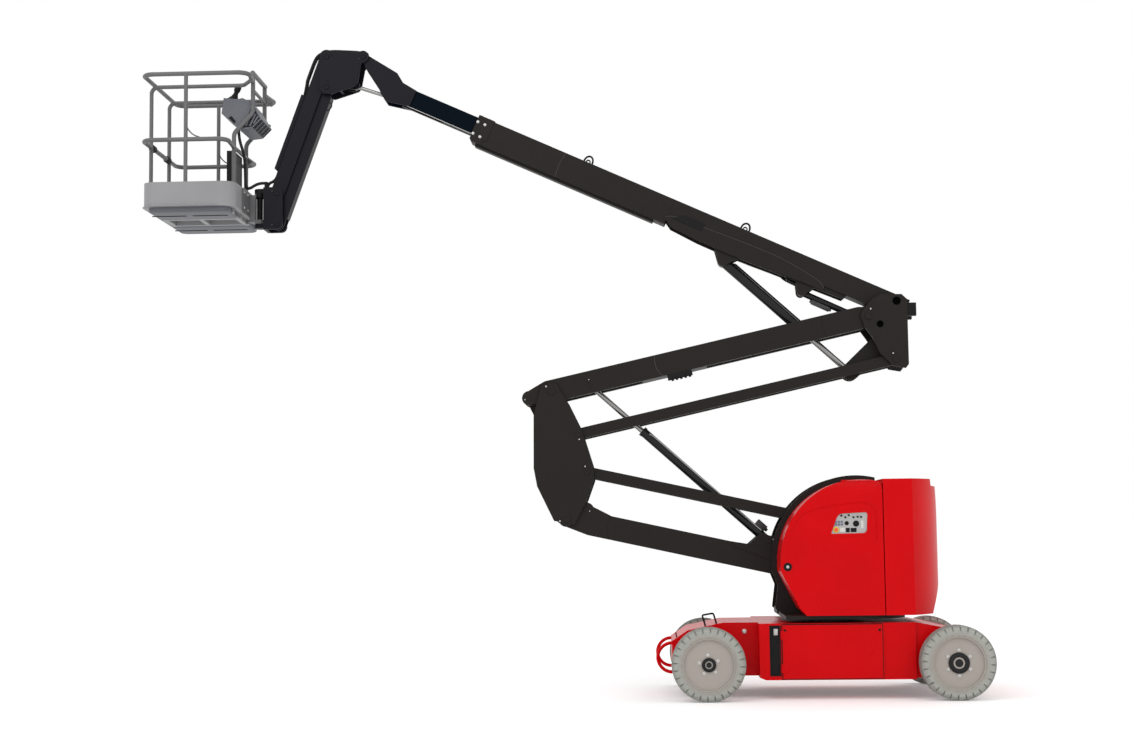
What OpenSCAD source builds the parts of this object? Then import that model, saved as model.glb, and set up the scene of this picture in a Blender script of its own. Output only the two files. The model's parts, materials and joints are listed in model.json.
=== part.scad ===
// Articulating boom lift, shown with its arms half raised and the jib hanging down.
// Lengths are millimetres. X runs along the machine: the basket is at -X and the
// counterweight at +X. Y runs across it and Z is up, with the ground at Z = 0.
// Points given as [x, z] lie in the machine's middle plane.

/* [Wheels and axles] */
// Distance between the front and rear axles
wheelbase = 2000; // [1900:10:2200]
// Width over the outer faces of the tyres
overall_w = 1750; // [1700:10:1900]
// Outer diameter of a tyre
tyre_d = 600; // [560:10:620]
// Width of a tyre
tyre_w = 190; // [160:5:200]
// Outer diameter of a rim
rim_d = 432; // [400:4:450]
// Thickness of a rim's barrel
rim_wall = 12; // [8:1:20]
// Lug notches round each shoulder of a tyre
lug_count = 28; // [20:1:32]
// Distance of a kingpin from the wheel's middle plane
kingpin_in = 150; // [145:5:165]

/* [Chassis] */
// Height of the deck above the ground
deck_z = 617; // [612:1:650]
// Ground clearance under the side plates
clearance_z = 158; // [140:2:180]
// Gap between the chassis and a tyre
tyre_gap = 30; // [25:1:60]
// Step in each side of the chassis beside the steered wheels
nose_step = 225; // [215:5:275]
// Thickness of a battery door
door_t = 22; // [12:1:30]

/* [Turret] */
// Radius of the tail about the slewing axis
tail_r = 975; // [940:5:1000]
// Half width of the hoods and the counterweight
turret_hw = 690; // [640:5:720]
// Height of the top of the hoods
turret_top = 1788; // [1760:2:1820]
// Radius of a hood's round front
hood_r = 668; // [640:2:690]
// Thickness of a hood's wall
hood_wall = 8; // [5:1:14]

/* [Arms] */
// Length of each arm between its pivots
arm_len = 2790; // [2700:10:2850]
// Slope of both arms as they stand
arm_angle = 12.5; // [8:0.5:16]
// Depth of an arm
arm_h = 200; // [180:5:210]
// Depth of a tie rod
tie_h = 92; // [80:2:100]
// Diameter of the main pivot pins
pin_d = 60; // [50:2:64]

/* [Boom] */
// Slope of the boom as it stands
boom_angle = 24.6; // [20:0.2:30]
// Length of the outer boom in front of its pivot
outer_len = 3960; // [3800:10:4100]
// Depth of the outer boom
outer_h = 181; // [176:1:190]
// Half width of the outer boom
outer_hw = 88; // [84:1:90]
// Wall of both boom tubes
boom_wall = 8; // [5:1:10]
// Gap between the two boom tubes for the wear pads
pad_gap = 7; // [5:1:9]
// Distance of the jib head's pivot in front of the outer boom
boom_out = 1159; // [1100:1:1240]

/* [Jib] */
// Length of the jib's links between their pins
jib_len = 1285; // [1200:5:1350]
// Slope of the jib as it hangs
jib_angle = -70; // [-70:1:-60]
// Height between the jib's two links
jib_rise = 270; // [260:2:290]

/* [Basket] */
// Length of the basket along the machine
basket_l = 825; // [780:5:860]
// Width of the basket
basket_w = 1200; // [1100:10:1300]
// Height of the top rail above the floor
rail_h = 1140; // [1100:5:1160]
// Diameter of the rail tube
rail_d = 38; // [32:1:42]
// Height of the toe board
toe_h = 200; // [150:5:220]

/* [Hidden] */
$fn = 64;

// Clearances
pin_gap = 0.5;
seat_gap = 0.3;
side_gap = 8;
// A bend is a little fatter than its tube, which runs a little way into it
bend_swell = 1.2;
bend_lap = 4;

// Bands across the machine, from the middle outwards
eye_hw = 30;
arm_in = 100;
arm_out = 155;
plate_in = arm_out + side_gap;
plate_out = plate_in + 20;
turret_in = plate_out + 12;
turret_out = turret_in + 20;
hood_in = turret_out + 13;

// Pivots of the two arms and their tie rods
turret_pin = [554, 892];
lower_tie_off = [182, 397];
upper_tie_off = [222, -373];
knuckle_off = [-117, 1096];
boom_off = [238, 123];
k1 = turret_pin + arm_len * [-cos(arm_angle), sin(arm_angle)];
u1 = k1 + knuckle_off;
p1 = u1 + arm_len * [cos(arm_angle), sin(arm_angle)];
h1 = p1 + boom_off;
lower_tie_turret = turret_pin + lower_tie_off;
lower_tie_knuckle = k1 + lower_tie_off;
upper_tie_knuckle = u1 + upper_tie_off;
upper_tie_end = p1 + upper_tie_off;
tie_pin_d = 46;
tie_in = arm_in + 5;
tie_out = arm_out - 5;

// Places on the arms, measured along and above each arm's own line
sync_on_lower = [145, 115];
sync_on_upper = [-201, -15];
lift_on_lower = [1722, 168];
lift_on_upper = [333, -17];
sync_pin_d = 44;
sync_hw = 18;
ram_pin_d = 50;
boom_pin_d = 70;
level_pin_d = 36;
slave_pin_d = 36;
jib_pin_d = 50;
turn_pin_d = 50;
kingpin_d = 44;
kingpin_gap = 120;
eye_play = 2;
fork_in = 46;
fork_out = 66;

// Section of the boom, measured above the line through its pivot
outer_top = 66;
outer_bot = outer_top - outer_h;
inner_top = outer_top - boom_wall - pad_gap;
inner_bot = outer_bot + boom_wall + pad_gap;
inner_hw = outer_hw - boom_wall - pad_gap;
boom_reach = outer_len + boom_out;
nose_base = boom_reach - 559;
inner_front = nose_base + 140;
inner_back = 1000;
channel_back = 2187;
channel_front = outer_len - 160;
channel_hw = 48;
channel_h = 52;
ear_in = 54;
ram_on_boom = [1495, -253];
level_on_boom = [770, -232];
ram_on_knuckle = [-155, -469];
level_on_knuckle = [93, -74];
knuckle_tube = [150, -190];

// Pivots of the jib head and the jib
head_rise = 140;
nose_in = inner_hw;
nose_out = nose_in + 14;
head_in = nose_out + side_gap;
head_out = head_in + 16;
jib_on_head = [-324, 8];
slave_on_head = [-79, -241];
slave_on_boom = [nose_base - 410, -22];
j0 = h1 + (boom_reach * [-cos(boom_angle), sin(boom_angle)])
  + head_rise * [sin(boom_angle), cos(boom_angle)];
t1 = j0 + jib_on_head;
t2 = t1 - [0, jib_rise];
jib_vec = jib_len * [-cos(jib_angle), sin(jib_angle)];
b1 = t1 + jib_vec;
b2 = t2 + jib_vec;

// The basket hangs on an upright pin in front of the bracket
turn_x = b1[0] - 170;
basket_rear = turn_x - 90;
basket_front = basket_rear - basket_l;
floor_z = b1[1] - 182;
rail_z = floor_z + rail_h;
mid_z = floor_z + 568;

// The frame's origin lies under the middle of the machine's length
x_max = wheelbase / 2 + tyre_d / 2;
origin_x = (basket_front + x_max) / 2;

// Wheels
wheel_y = overall_w / 2 - tyre_w / 2;
chassis_hw = overall_w / 2 - tyre_w - tyre_gap;
nose_hw = chassis_hw - nose_step;
kingpin_y = wheel_y - kingpin_in;
axle_z = tyre_d / 2;
front_x = -wheelbase / 2;
rear_x = wheelbase / 2;
spindle_d = 60;
beam_w = 140;
beam_h = 150;

// Shared building shapes

module place() {
  translate([-origin_x, 0, 0]) children();
}

// A drawing in the X-Z plane, given thickness between two places across the machine
module side(y0, y1) {
  translate([0, y1, 0]) rotate([90, 0, 0]) linear_extrude(y1 - y0) children();
}

module pair() {
  children();
  mirror([0, 1, 0]) children();
}

// Round bar across the machine at a point of the middle plane
module bar_y(p, d, y0, y1) {
  translate([p[0], y1, p[1]]) rotate([90, 0, 0]) cylinder(d = d, h = y1 - y0);
}

module disc(p, r) {
  translate(p) circle(r);
}

// Flat link with two round ends, its edges tangent to both
module strap(a, ra, b, rb) {
  d = norm(b - a);
  turn = atan2(b[1] - a[1], b[0] - a[0]);
  lean = acos((ra - rb) / d);
  union() {
    disc(a, ra);
    disc(b, rb);
    polygon([
      a + ra * [cos(turn + lean), sin(turn + lean)],
      b + rb * [cos(turn + lean), sin(turn + lean)],
      b + rb * [cos(turn - lean), sin(turn - lean)],
      a + ra * [cos(turn - lean), sin(turn - lean)]
    ]);
  }
}

// Frame of a part that slopes: x runs along it to the right, z stands on it
module on_line(p, slope) {
  translate([p[0], 0, p[1]]) rotate([0, -slope, 0]) children();
}

module box(x0, x1, y0, y1, z0, z1) {
  translate([x0, y0, z0]) cube([x1 - x0, y1 - y0, z1 - z0]);
}

// Straight round tube between two points in space
module rod(a, b, d) {
  v = b - a;
  len = norm(v);
  translate(a)
    rotate([0, acos(v[2] / len), atan2(v[1], v[0])])
      cylinder(d = d, h = len);
}

function unit(v) = v / norm(v);
function turn_of(a, p, b) = acos(unit(p - a) * unit(b - p));

// Round bend of a tube at a corner of its path
module elbow(a, p, b, d, bend) {
  u = unit(p - a);
  v = unit(b - p);
  w = unit(v - (u * v) * u);
  n = cross(u, w);
  c = p - u * bend * tan(turn_of(a, p, b) / 2) + w * bend;
  multmatrix([
    [-w[0], u[0], n[0], c[0]], [-w[1], u[1], n[1], c[1]], [-w[2], u[2], n[2], c[2]], [0, 0, 0, 1]
  ])
    rotate_extrude(angle = turn_of(a, p, b)) translate([bend, 0]) circle(d = d + bend_swell);
}

// Tube along straight runs that meet in round bends
module pipe(pts, d, bend) {
  last = len(pts) - 1;
  setback = [for (i = [0 : last])
    i == 0 || i == last ? 0 : bend * tan(turn_of(pts[i - 1], pts[i], pts[i + 1]) / 2) - bend_lap];
  for (i = [0 : last - 1]) {
    u = unit(pts[i + 1] - pts[i]);
    rod(pts[i] + u * setback[i], pts[i + 1] - u * setback[i + 1], d);
  }
  for (i = [1 : last - 1])
    elbow(pts[i - 1], pts[i], pts[i + 1], d, bend);
}

// Rectangle with four round corners
module rounded(x0, x1, y0, y1, r) {
  translate([x0 + r, y0]) square([x1 - x0 - 2 * r, y1 - y0]);
  translate([x0, y0 + r]) square([x1 - x0, y1 - y0 - 2 * r]);
  for (x = [x0 + r, x1 - r], y = [y0 + r, y1 - r])
    translate([x, y]) circle(r);
}

// Hydraulic cylinder along a line from its base pin to its rod's eye
module ram_barrel(base, eye, d, length, bore, rod_d) {
  aim = atan2(eye[1] - base[1], eye[0] - base[0]);
  on_line(base, aim) difference() {
    union() {
      rotate([90, 0, 0]) cylinder(d = d * 1.15, h = 2 * eye_hw, center = true);
      translate([d * 0.4, 0, 0]) rotate([0, 90, 0]) cylinder(d = d, h = length - d * 0.4);
      translate([length - d * 0.3, 0, 0]) rotate([0, 90, 0]) cylinder(d = d * 1.12, h = d * 0.3);
    }
    rotate([90, 0, 0]) cylinder(d = bore, h = 2 * eye_hw + 2, center = true);
    translate([d * 0.9, 0, 0]) rotate([0, 90, 0]) cylinder(d = d - 16, h = length - d * 1.2);
    translate([d * 0.9, 0, 0]) rotate([0, 90, 0]) cylinder(d = rod_d + 2 * seat_gap, h = length);
  }
}

module ram_rod(base, eye, d, start, eye_d, bore) {
  aim = atan2(eye[1] - base[1], eye[0] - base[0]);
  reach = norm(eye - base);
  on_line(base, aim) difference() {
    union() {
      translate([start, 0, 0]) rotate([0, 90, 0]) cylinder(d = d, h = reach - start);
      translate([reach, 0, 0]) rotate([90, 0, 0]) cylinder(d = eye_d, h = 2 * eye_hw, center = true);
    }
    translate([reach, 0, 0]) rotate([90, 0, 0]) cylinder(d = bore, h = 2 * eye_hw + 2, center = true);
  }
}

// Point of a sloping part, given along and above its line
function on_arm(p, slope, q) = p
  + q[0] * [cos(slope), sin(slope)] + q[1] * [-sin(slope), cos(slope)];
function on_boom(q) = h1
  + q[0] * [-cos(boom_angle), sin(boom_angle)] + q[1] * [sin(boom_angle), cos(boom_angle)];

lift_base = on_arm(k1, -arm_angle, lift_on_lower);
lift_eye = on_arm(u1, arm_angle, lift_on_upper);
sync_low = on_arm(k1, -arm_angle, sync_on_lower);
sync_high = on_arm(u1, arm_angle, sync_on_upper);
ram_base = on_boom(ram_on_boom);
ram_eye = p1 + ram_on_knuckle;
level_base = on_boom(level_on_boom);
level_eye = p1 + level_on_knuckle;
slave_base = on_boom(slave_on_boom);
slave_eye = j0 + slave_on_head;

// Chassis

pocket_x0 = -395;
pocket_x1 = 420;
pocket_z0 = 178;
pocket_z1 = 598;
pocket_in = 330;
middle_x0 = -580;
column_x0 = -490;
column_x1 = -414;
door_hinge_x = -402;
lug_x = 1256;
lug_y = 300;
lug_z = 360;
lug_t = 24;
lug_bore = 40;

module chassis_frame() {
  color("firebrick") place() difference() {
    union() {
      side(-chassis_hw, chassis_hw) polygon([
        [middle_x0, clearance_z + 20], [middle_x0 + 50, clearance_z], [690, clearance_z],
        [690, deck_z], [middle_x0, deck_z]
      ]);
      side(-nose_hw, nose_hw) polygon([
        [-1290, 260], [-1230, 180], [middle_x0, 180], [middle_x0, deck_z], [-870, deck_z],
        [-1160, 556], [-1290, 470]
      ]);
      pair() translate([0, 0, lug_z - lug_t / 2]) linear_extrude(lug_t)
        strap([lug_x - 80, lug_y], 60, [lug_x, lug_y], lug_bore / 2 + 20);
      side(-chassis_hw + 25, chassis_hw - 25) polygon([
        [690, 168], [1160, 190], [1230, 300], [1230, 500], [915, 575], [690, deck_z]
      ]);
    }
    for (x = [front_x, rear_x])
      box(x - beam_w / 2, x + beam_w / 2, -chassis_hw - 1, chassis_hw + 1,
        axle_z - beam_h / 2, axle_z + beam_h / 2);
    pair() box(pocket_x0, pocket_x1, pocket_in, chassis_hw + 1, pocket_z0, pocket_z1);
    pair() translate([lug_x, lug_y, lug_z - lug_t]) cylinder(d = lug_bore, h = 2 * lug_t);
    pair() box(column_x0, column_x1, chassis_hw - 18, chassis_hw + 1, pocket_z0 + 12, pocket_z1 + 2);
    box(middle_x0 + 25, 665, -pocket_in + 20, pocket_in - 20, 100, deck_z - 25);
    box(-1255, middle_x0 - 10, -nose_hw + 25, nose_hw - 25, 100, 500);
    box(700, 1190, -chassis_hw + 50, chassis_hw - 50, 100, 470);
  }
}

module front_hoops() {
  hoop_d = 28;
  hoop_r = 120;
  hoop_y = nose_hw - 70;
  color("firebrick") place() pair()
    translate([-1290, hoop_y, 330]) rotate([90, 0, 0])
      rotate([0, 0, 90]) rotate_extrude(angle = 180) translate([hoop_r, 0]) circle(d = hoop_d);
}

module front_axle() {
  ear_t = 38;
  ear_r = 55;
  gap = kingpin_gap;
  color("dimgray") place() translate([front_x, 0, axle_z]) difference() {
    union() {
      box(-beam_w / 2, beam_w / 2, -kingpin_y + ear_r + 10, kingpin_y - ear_r - 10, -beam_h / 2, beam_h / 2);
      pair() for (s = [-1, 1])
        translate([0, kingpin_y, s * (gap + ear_t) / 2 - ear_t / 2]) {
          cylinder(r = ear_r, h = ear_t);
          box(-ear_r, ear_r, -ear_r - 40, 0, 0, ear_t);
        }
      pair() box(-beam_w / 2, beam_w / 2, kingpin_y - ear_r - 40, kingpin_y - ear_r - 10,
        -gap / 2 - ear_t, gap / 2 + ear_t);
    }
    pair() translate([0, kingpin_y, -200]) cylinder(d = kingpin_d + 2 * pin_gap, h = 400);
  }
}

module steer_knuckle() {
  gap = kingpin_gap;
  translate([front_x, kingpin_y, axle_z]) {
    translate([0, 0, -gap / 2 + 1]) cylinder(d = 96, h = gap - 2);
    translate([0, 0, -98]) cylinder(d = kingpin_d, h = 196);
    rotate([-90, 0, 0]) cylinder(d = spindle_d, h = kingpin_in + 60);
    translate([0, 44, 0]) rotate([-90, 0, 0]) cylinder(d = 110, h = 36);
  }
}

module steer_knuckle_near() { color("dimgray") place() mirror([0, 1, 0]) steer_knuckle(); }
module steer_knuckle_far() { color("dimgray") place() steer_knuckle(); }

module rear_axle() {
  color("dimgray") place() translate([rear_x, 0, axle_z]) {
    box(-beam_w / 2, beam_w / 2, -chassis_hw + 5, chassis_hw - 5, -beam_h / 2, beam_h / 2);
    pair() {
      translate([0, chassis_hw - 5, 0]) rotate([-90, 0, 0]) cylinder(d = 180, h = 60);
      translate([0, chassis_hw + 55, 0]) rotate([-90, 0, 0])
        cylinder(d = spindle_d, h = wheel_y + 60 - chassis_hw - 55);
    }
  }
}

// Wheel about the Y axis, its middle plane at y = 0 and its outer face at +y
module rim_shape(cap_d, bolt_pcd, bolts) {
  half = tyre_w / 2;
  r = rim_d / 2;
  difference() {
    rotate([-90, 0, 0]) rotate_extrude() polygon([
      [spindle_d / 2 + pin_gap, -20], [75, -20], [75, 10], [150, 24], [r - rim_wall, 0],
      [r - rim_wall, -half + 4], [r, -half + 4], [r, half - 4], [r - rim_wall, half - 4],
      [r - rim_wall, 26], [150, 46], [cap_d / 2 + 10, 40], [cap_d / 2, 40], [cap_d / 2, 76],
      [0, 82], [0, 66], [spindle_d / 2 + pin_gap, 66]
    ]);
    for (i = [0 : bolts - 1])
      rotate([0, i * 360 / bolts, 0]) translate([bolt_pcd / 2, 60, 0])
        rotate([90, 0, 0]) cylinder(d = 14, h = 14);
  }
}

// Ring of corners about the origin
function ring(n, r) = [for (i = [0 : n - 1]) r * [cos(i * 360 / n), sin(i * 360 / n)]];

// Outline of a tyre's shoulder, which has a notch after each lug
function lug_ring(n, r, notch_w, notch_h, shift) = [
  for (i = [0 : n - 1], k = [0 : 3])
    let (
      half_a = asin(notch_w / 2 / r),
      mid = (i + shift) * 360 / n,
      a = k < 2 ? mid - half_a : mid + half_a,
      h = k == 0 || k == 3 ? r : r - notch_h
    )
    h * [cos(a), sin(a)]
];

// Solid tyre: a plain band between two sloped shoulders, whose notches are staggered
module tyre_shape() {
  half = tyre_w / 2;
  r = tyre_d / 2;
  shoulder_w = 24;
  shoulder_h = 30;
  sides = 2 * lug_count;
  lug_r = r * cos(180 / sides) - seat_gap;
  bore_r = (rim_d / 2 + seat_gap) / cos(180 / lug_count);
  difference() {
    union() {
      side(-half + shoulder_w, half - shoulder_w) polygon(ring(sides, r));
      for (s = [-1, 1])
        rotate([-90 * s, 0, 0]) translate([0, 0, half - shoulder_w - 1])
          linear_extrude(shoulder_w + 1, scale = 1 - shoulder_h / r)
            polygon(lug_ring(lug_count, lug_r, 13, 22, s / 4));
    }
    side(-half - 1, half + 1) polygon(ring(lug_count, bore_r));
  }
}

module at_wheel(x, far) {
  place() translate([x, 0, axle_z]) mirror([0, far ? 0 : 1, 0]) translate([0, wheel_y, 0]) children();
}

module rim_front_near() { color("tan") at_wheel(front_x, false) rim_shape(112, 158, 5); }
module rim_front_far() { color("tan") at_wheel(front_x, true) rim_shape(112, 158, 5); }
module rim_rear_near() { color("tan") at_wheel(rear_x, false) rim_shape(165, 203, 6); }
module rim_rear_far() { color("tan") at_wheel(rear_x, true) rim_shape(165, 203, 6); }
module tyre_front_near() { color("darkgray") at_wheel(front_x, false) tyre_shape(); }
module tyre_front_far() { color("darkgray") at_wheel(front_x, true) tyre_shape(); }
module tyre_rear_near() { color("darkgray") at_wheel(rear_x, false) tyre_shape(); }
module tyre_rear_far() { color("darkgray") at_wheel(rear_x, true) tyre_shape(); }

module battery_blocks() {
  color("dimgray") place() pair()
    box(pocket_x0 + 40, pocket_x1 - 40, pocket_in, chassis_hw - 40, pocket_z0, pocket_z1 - 60);
}

// The door's two hinge barrels stand just outside its face
module battery_door() {
  barrel_d = 14;
  box(pocket_x0 + 3, pocket_x1 - 3, chassis_hw + seat_gap, chassis_hw + door_t, pocket_z0 - 8, pocket_z1 + 6);
  for (z = [pocket_z0 + 40, pocket_z1 - 110]) {
    translate([door_hinge_x, chassis_hw + door_t + 6, z]) cylinder(d = barrel_d, h = 70);
    box(door_hinge_x, pocket_x0 + 40, chassis_hw + door_t - 1, chassis_hw + door_t + 5, z + 2, z + 68);
  }
}
module battery_door_near() { color("firebrick") place() mirror([0, 1, 0]) battery_door(); }
module battery_door_far() { color("firebrick") place() battery_door(); }

// Turret

ring_h = 30;
base_z = deck_z + ring_h + seat_gap;
base_t = 30;
hood_bot = base_z + base_t;
hood_c = [275, turret_top - hood_r];
hood_x1 = 445;

module slew_ring() {
  color("dimgray") place() translate([0, 0, deck_z]) cylinder(d = 700, h = ring_h);
}

// Outline of a hood from the side, with every edge moved inwards by a wall
module hood_outline(w, z0, x1) {
  intersection() {
    disc(hood_c, hood_r - w);
    translate([hood_c[0] - hood_r, hood_c[1]]) square([x1 - hood_c[0] + hood_r, hood_r]);
  }
  polygon([
    [hood_c[0] - hood_r + w, hood_c[1]], [-395 + w, 1040], [-240 + w, 730], [-190 + w, z0],
    [x1, z0], [x1, hood_c[1]]
  ]);
}

// Section of a hood across the machine, with a rounded outer shoulder
module hood_section(w, z0, y0) {
  r = 130;
  polygon([
    [y0, z0], [turret_hw - w, z0], [turret_hw - w, turret_top - r],
    [turret_hw - r, turret_top - w], [y0, turret_top - w]
  ]);
  translate([turret_hw - r, turret_top - r]) circle(r - w);
}

module hood_block(w, z0, x1, y0) {
  intersection() {
    side(y0, turret_hw) hood_outline(w, z0, x1);
    translate([-600, 0, 0]) rotate([90, 0, 90]) linear_extrude(1200) hood_section(w, z0, y0);
  }
}

panel_pts = [[76, 1513], [329, 1526], [316, 1339], [7, 1334]];

// The hood turns on two barrels at its inner top edge
module hood_shell() {
  difference() {
    hood_block(0, hood_bot + seat_gap, hood_x1, hood_in);
    hood_block(hood_wall, hood_bot - 5, hood_x1 + 1, hood_in - 1);
  }
  for (x = [160, 330])
    translate([x, hood_in, turret_top]) rotate([0, 90, 0]) cylinder(d = 14, h = 80);
}

module hood_near() {
  color("firebrick") place() mirror([0, 1, 0]) difference() {
    hood_shell();
    side(turret_hw - 60, turret_hw + 1) polygon(panel_pts);
  }
}
module hood_far() { color("firebrick") place() hood_shell(); }

module control_panel() {
  color("gray") place() mirror([0, 1, 0]) {
    box(-5, 340, turret_hw - 40, turret_hw - hood_wall, 1325, 1535);
  }
}

module power_units() {
  color("dimgray") place() pair()
    box(-120, 380, hood_in + 40, turret_hw - 110, base_z + base_t, 1180);
}

module turret_frame() {
  color("black") place() {
    translate([0, 0, base_z]) linear_extrude(base_t) intersection() {
      circle(760);
      translate([-360, -turret_hw + 30]) square([1000, 2 * turret_hw - 60]);
    }
    pair() side(turret_in, turret_out) {
      intersection() {
        disc(hood_c, hood_r + 45);
        translate([hood_c[0] - hood_r - 60, hood_c[1]])
          square([hood_x1 - hood_c[0] + hood_r + 60, hood_r + 60]);
      }
      polygon([
        [hood_c[0] - hood_r - 45, hood_c[1]], [-440, 1040], [-390, 912], [-415, 720],
        [-360, base_z + base_t - 1], [640, base_z + base_t - 1], [800, 1000], [810, 1340],
        [hood_x1, 1500], [hood_x1, hood_c[1] + 1]
      ]);
    }
    pair() {
      bar_y(turret_pin, pin_d, arm_in - 10, turret_in);
      bar_y(lower_tie_turret, tie_pin_d, tie_in - 4, turret_in);
    }
    box(-400, -385, -turret_in, turret_in, base_z + base_t, 730);
  }
}

module counterweight() {
  slot = hood_in - 6;
  color("firebrick") place() difference() {
    intersection() {
      translate([0, 0, hood_bot]) linear_extrude(turret_top - hood_bot) intersection() {
        circle(tail_r);
        translate([hood_x1 + 7, -turret_hw]) square([tail_r, 2 * turret_hw]);
      }
      side(-turret_hw, turret_hw) polygon([
        [hood_x1 + 7, hood_bot], [868, hood_bot], [923, 821], [963, 923], [tail_r, 1279],
        [951, 1603], [937, 1728], [881, 1732], [874, turret_top], [hood_x1 + 7, turret_top]
      ]);
    }
    box(hood_x1, 862, -slot, slot, hood_bot - 1, turret_top + 1);
  }
}

// Lower arm, its tie rods, the lower knuckle and the link that ties both arms together

arm_web = 12;
end_r = 70;

module lower_arm() {
  half = arm_h / 2;
  color("#302c2a") place() on_line(k1, -arm_angle) {
    difference() {
      union() {
        pair() side(arm_in, arm_out) difference() {
          union() {
            polygon([
              [-20, -64], [205, -half], [arm_len, -half], [arm_len, half], [2300, half], [1990, half + 12],
              [1800, 215], [1640, 215], [1560, half + 8], [1404, half], [371, half], [185, 150],
              [110, 150], [-50, 40]
            ]);
            disc([0, 0], end_r);
            disc(sync_on_lower, 58);
            disc([arm_len, 0], half + 6);
          }
          disc([0, 0], pin_d / 2 + pin_gap);
          disc([arm_len, 0], pin_d / 2 + pin_gap);
        }
        box(300, 2450, -arm_in - 1, arm_in + 1, -half, -half + arm_web);
        box(400, 1400, -arm_in - 1, arm_in + 1, half - arm_web, half);
      }
      pair() box(240, arm_len - 200, arm_in + 1, arm_out - arm_web, -half + arm_web + 1, half - arm_web - 1);
      pair() box(500, arm_len - 400, arm_in - 1, arm_in + 2, -half + 40, half - 40);
    }
    bar_y(sync_on_lower, sync_pin_d, -arm_in - 1, arm_in + 1);
    bar_y(lift_on_lower, ram_pin_d, -arm_in - 1, arm_in + 1);
  }
}

module lower_ties() {
  color("#302c2a") place() pair() side(tie_in, tie_out) tie_outline(lower_tie_knuckle, lower_tie_turret);
}

module tie_outline(a, b) {
  difference() {
    union() {
      strap(a, tie_h / 2, b, tie_h / 2);
      disc(a, tie_h / 2 + 8);
      disc(b, tie_h / 2 + 8);
    }
    disc(a, tie_pin_d / 2 + pin_gap);
    disc(b, tie_pin_d / 2 + pin_gap);
  }
}

module lower_knuckle() {
  color("#302c2a") place() {
    pair() side(plate_in, plate_out) union() {
      polygon([for (p = [
        [-106, -18], [65, -54], [175, 149], [240, 327], [233, 441], [135, 764], [22, 998], [-67, 1137],
        [-200, 1150], [-272, 890], [-276, 436], [-248, 278]
      ]) k1 + p]);
      disc(k1, 66);
      disc(lower_tie_knuckle, 60);
      disc(u1, 70);
    }
    pair() {
      bar_y(k1, pin_d, arm_in - 10, plate_in);
      bar_y(u1, pin_d, arm_in - 10, plate_in);
      bar_y(lower_tie_knuckle, tie_pin_d, tie_in - 4, plate_in);
      bar_y(upper_tie_knuckle, tie_pin_d, tie_in - 4, plate_in);
    }
    bar_y(k1 + [85, 560], 110, -plate_in, plate_in);
  }
}

module sync_link() {
  reach = norm(sync_high - sync_low);
  aim = atan2(sync_high[1] - sync_low[1], sync_high[0] - sync_low[0]);
  color("#302c2a") place() on_line(sync_low, aim) difference() {
    union() {
      box(0, reach, -sync_hw, sync_hw, -36, 36);
      bar_y([0, 0], 92, -sync_hw, sync_hw);
      bar_y([reach, 0], 92, -sync_hw, sync_hw);
    }
    bar_y([0, 0], sync_pin_d + 2 * pin_gap, -sync_hw - 1, sync_hw + 1);
    bar_y([reach, 0], sync_pin_d + 2 * eye_play, -sync_hw - 1, sync_hw + 1);
  }
}

// Upper arm, its tie rods and the upper knuckle

module upper_arm() {
  half = arm_h / 2 - 4;
  color("#302c2a") place() on_line(u1, arm_angle) {
    difference() {
      union() {
        pair() side(arm_in, arm_out) difference() {
          union() {
            polygon([
              [-215, 40], [-40, half], [arm_len - 70, half], [arm_len, 80], [arm_len, -80],
              [arm_len - 70, -half], [40, -half], [-215, -70]
            ]);
            disc(sync_on_upper, 62);
            disc([arm_len, 0], half - 4);
          }
          disc([0, 0], pin_d / 2 + pin_gap);
          disc([arm_len, 0], pin_d / 2 + pin_gap);
        }
        box(780, 1350, -arm_in - 1, arm_in + 1, -half, -half + arm_web);
      }
      pair() box(420, arm_len - 200, arm_in + 1, arm_out - arm_web, -half + arm_web + 1, half - arm_web - 1);
      pair() box(1300, arm_len - 400, arm_in - 1, arm_in + 2, -half + 40, half - 40);
    }
    pair() {
      bar_y(sync_on_upper, sync_pin_d, sync_hw + seat_gap, arm_in + 1);
      bar_y(lift_on_upper, ram_pin_d, eye_hw + seat_gap, arm_in + 1);
    }
  }
}

module upper_ties() {
  color("#302c2a") place() pair() side(tie_in, tie_out) tie_outline(upper_tie_knuckle, upper_tie_end);
}

module upper_knuckle() {
  color("#302c2a") place() {
    pair() side(plate_in, plate_out) union() {
      polygon([for (p = [
        [108, 183], [281, 180], [327, 136], [328, -422], [302, -455], [201, -437], [86, -324],
        [22, -185], [-44, -90], [-67, 5], [-40, 65], [30, 141]
      ]) p1 + p]);
      disc(p1, 68);
    }
    pair() {
      bar_y(p1, pin_d, arm_in - 10, plate_in);
      bar_y(upper_tie_end, tie_pin_d, tie_in - 4, plate_in);
      bar_y(level_eye, level_pin_d, eye_hw + seat_gap, plate_in);
      bar_y(ram_eye, ram_pin_d, eye_hw + seat_gap, fork_in);
      side(fork_in, fork_out) strap(ram_eye, 75, p1 + knuckle_tube, 85);
    }
    bar_y(h1, boom_pin_d, -plate_in, plate_in);
    bar_y(p1 + knuckle_tube, 100, -plate_in, plate_in);
  }
}

// Cylinder that lifts both arms

module lift_barrel() {
  color("black") place() ram_barrel(lift_base, lift_eye, 78, 1430, ram_pin_d + 2 * pin_gap, 46);
}
module lift_rod() {
  color("silver") place() ram_rod(lift_base, lift_eye, 46, 900, 84, ram_pin_d + eye_play);
}

// Boom

module in_boom() {
  translate([h1[0], 0, h1[1]]) rotate([0, boom_angle, 0]) mirror([1, 0, 0]) children();
}

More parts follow.
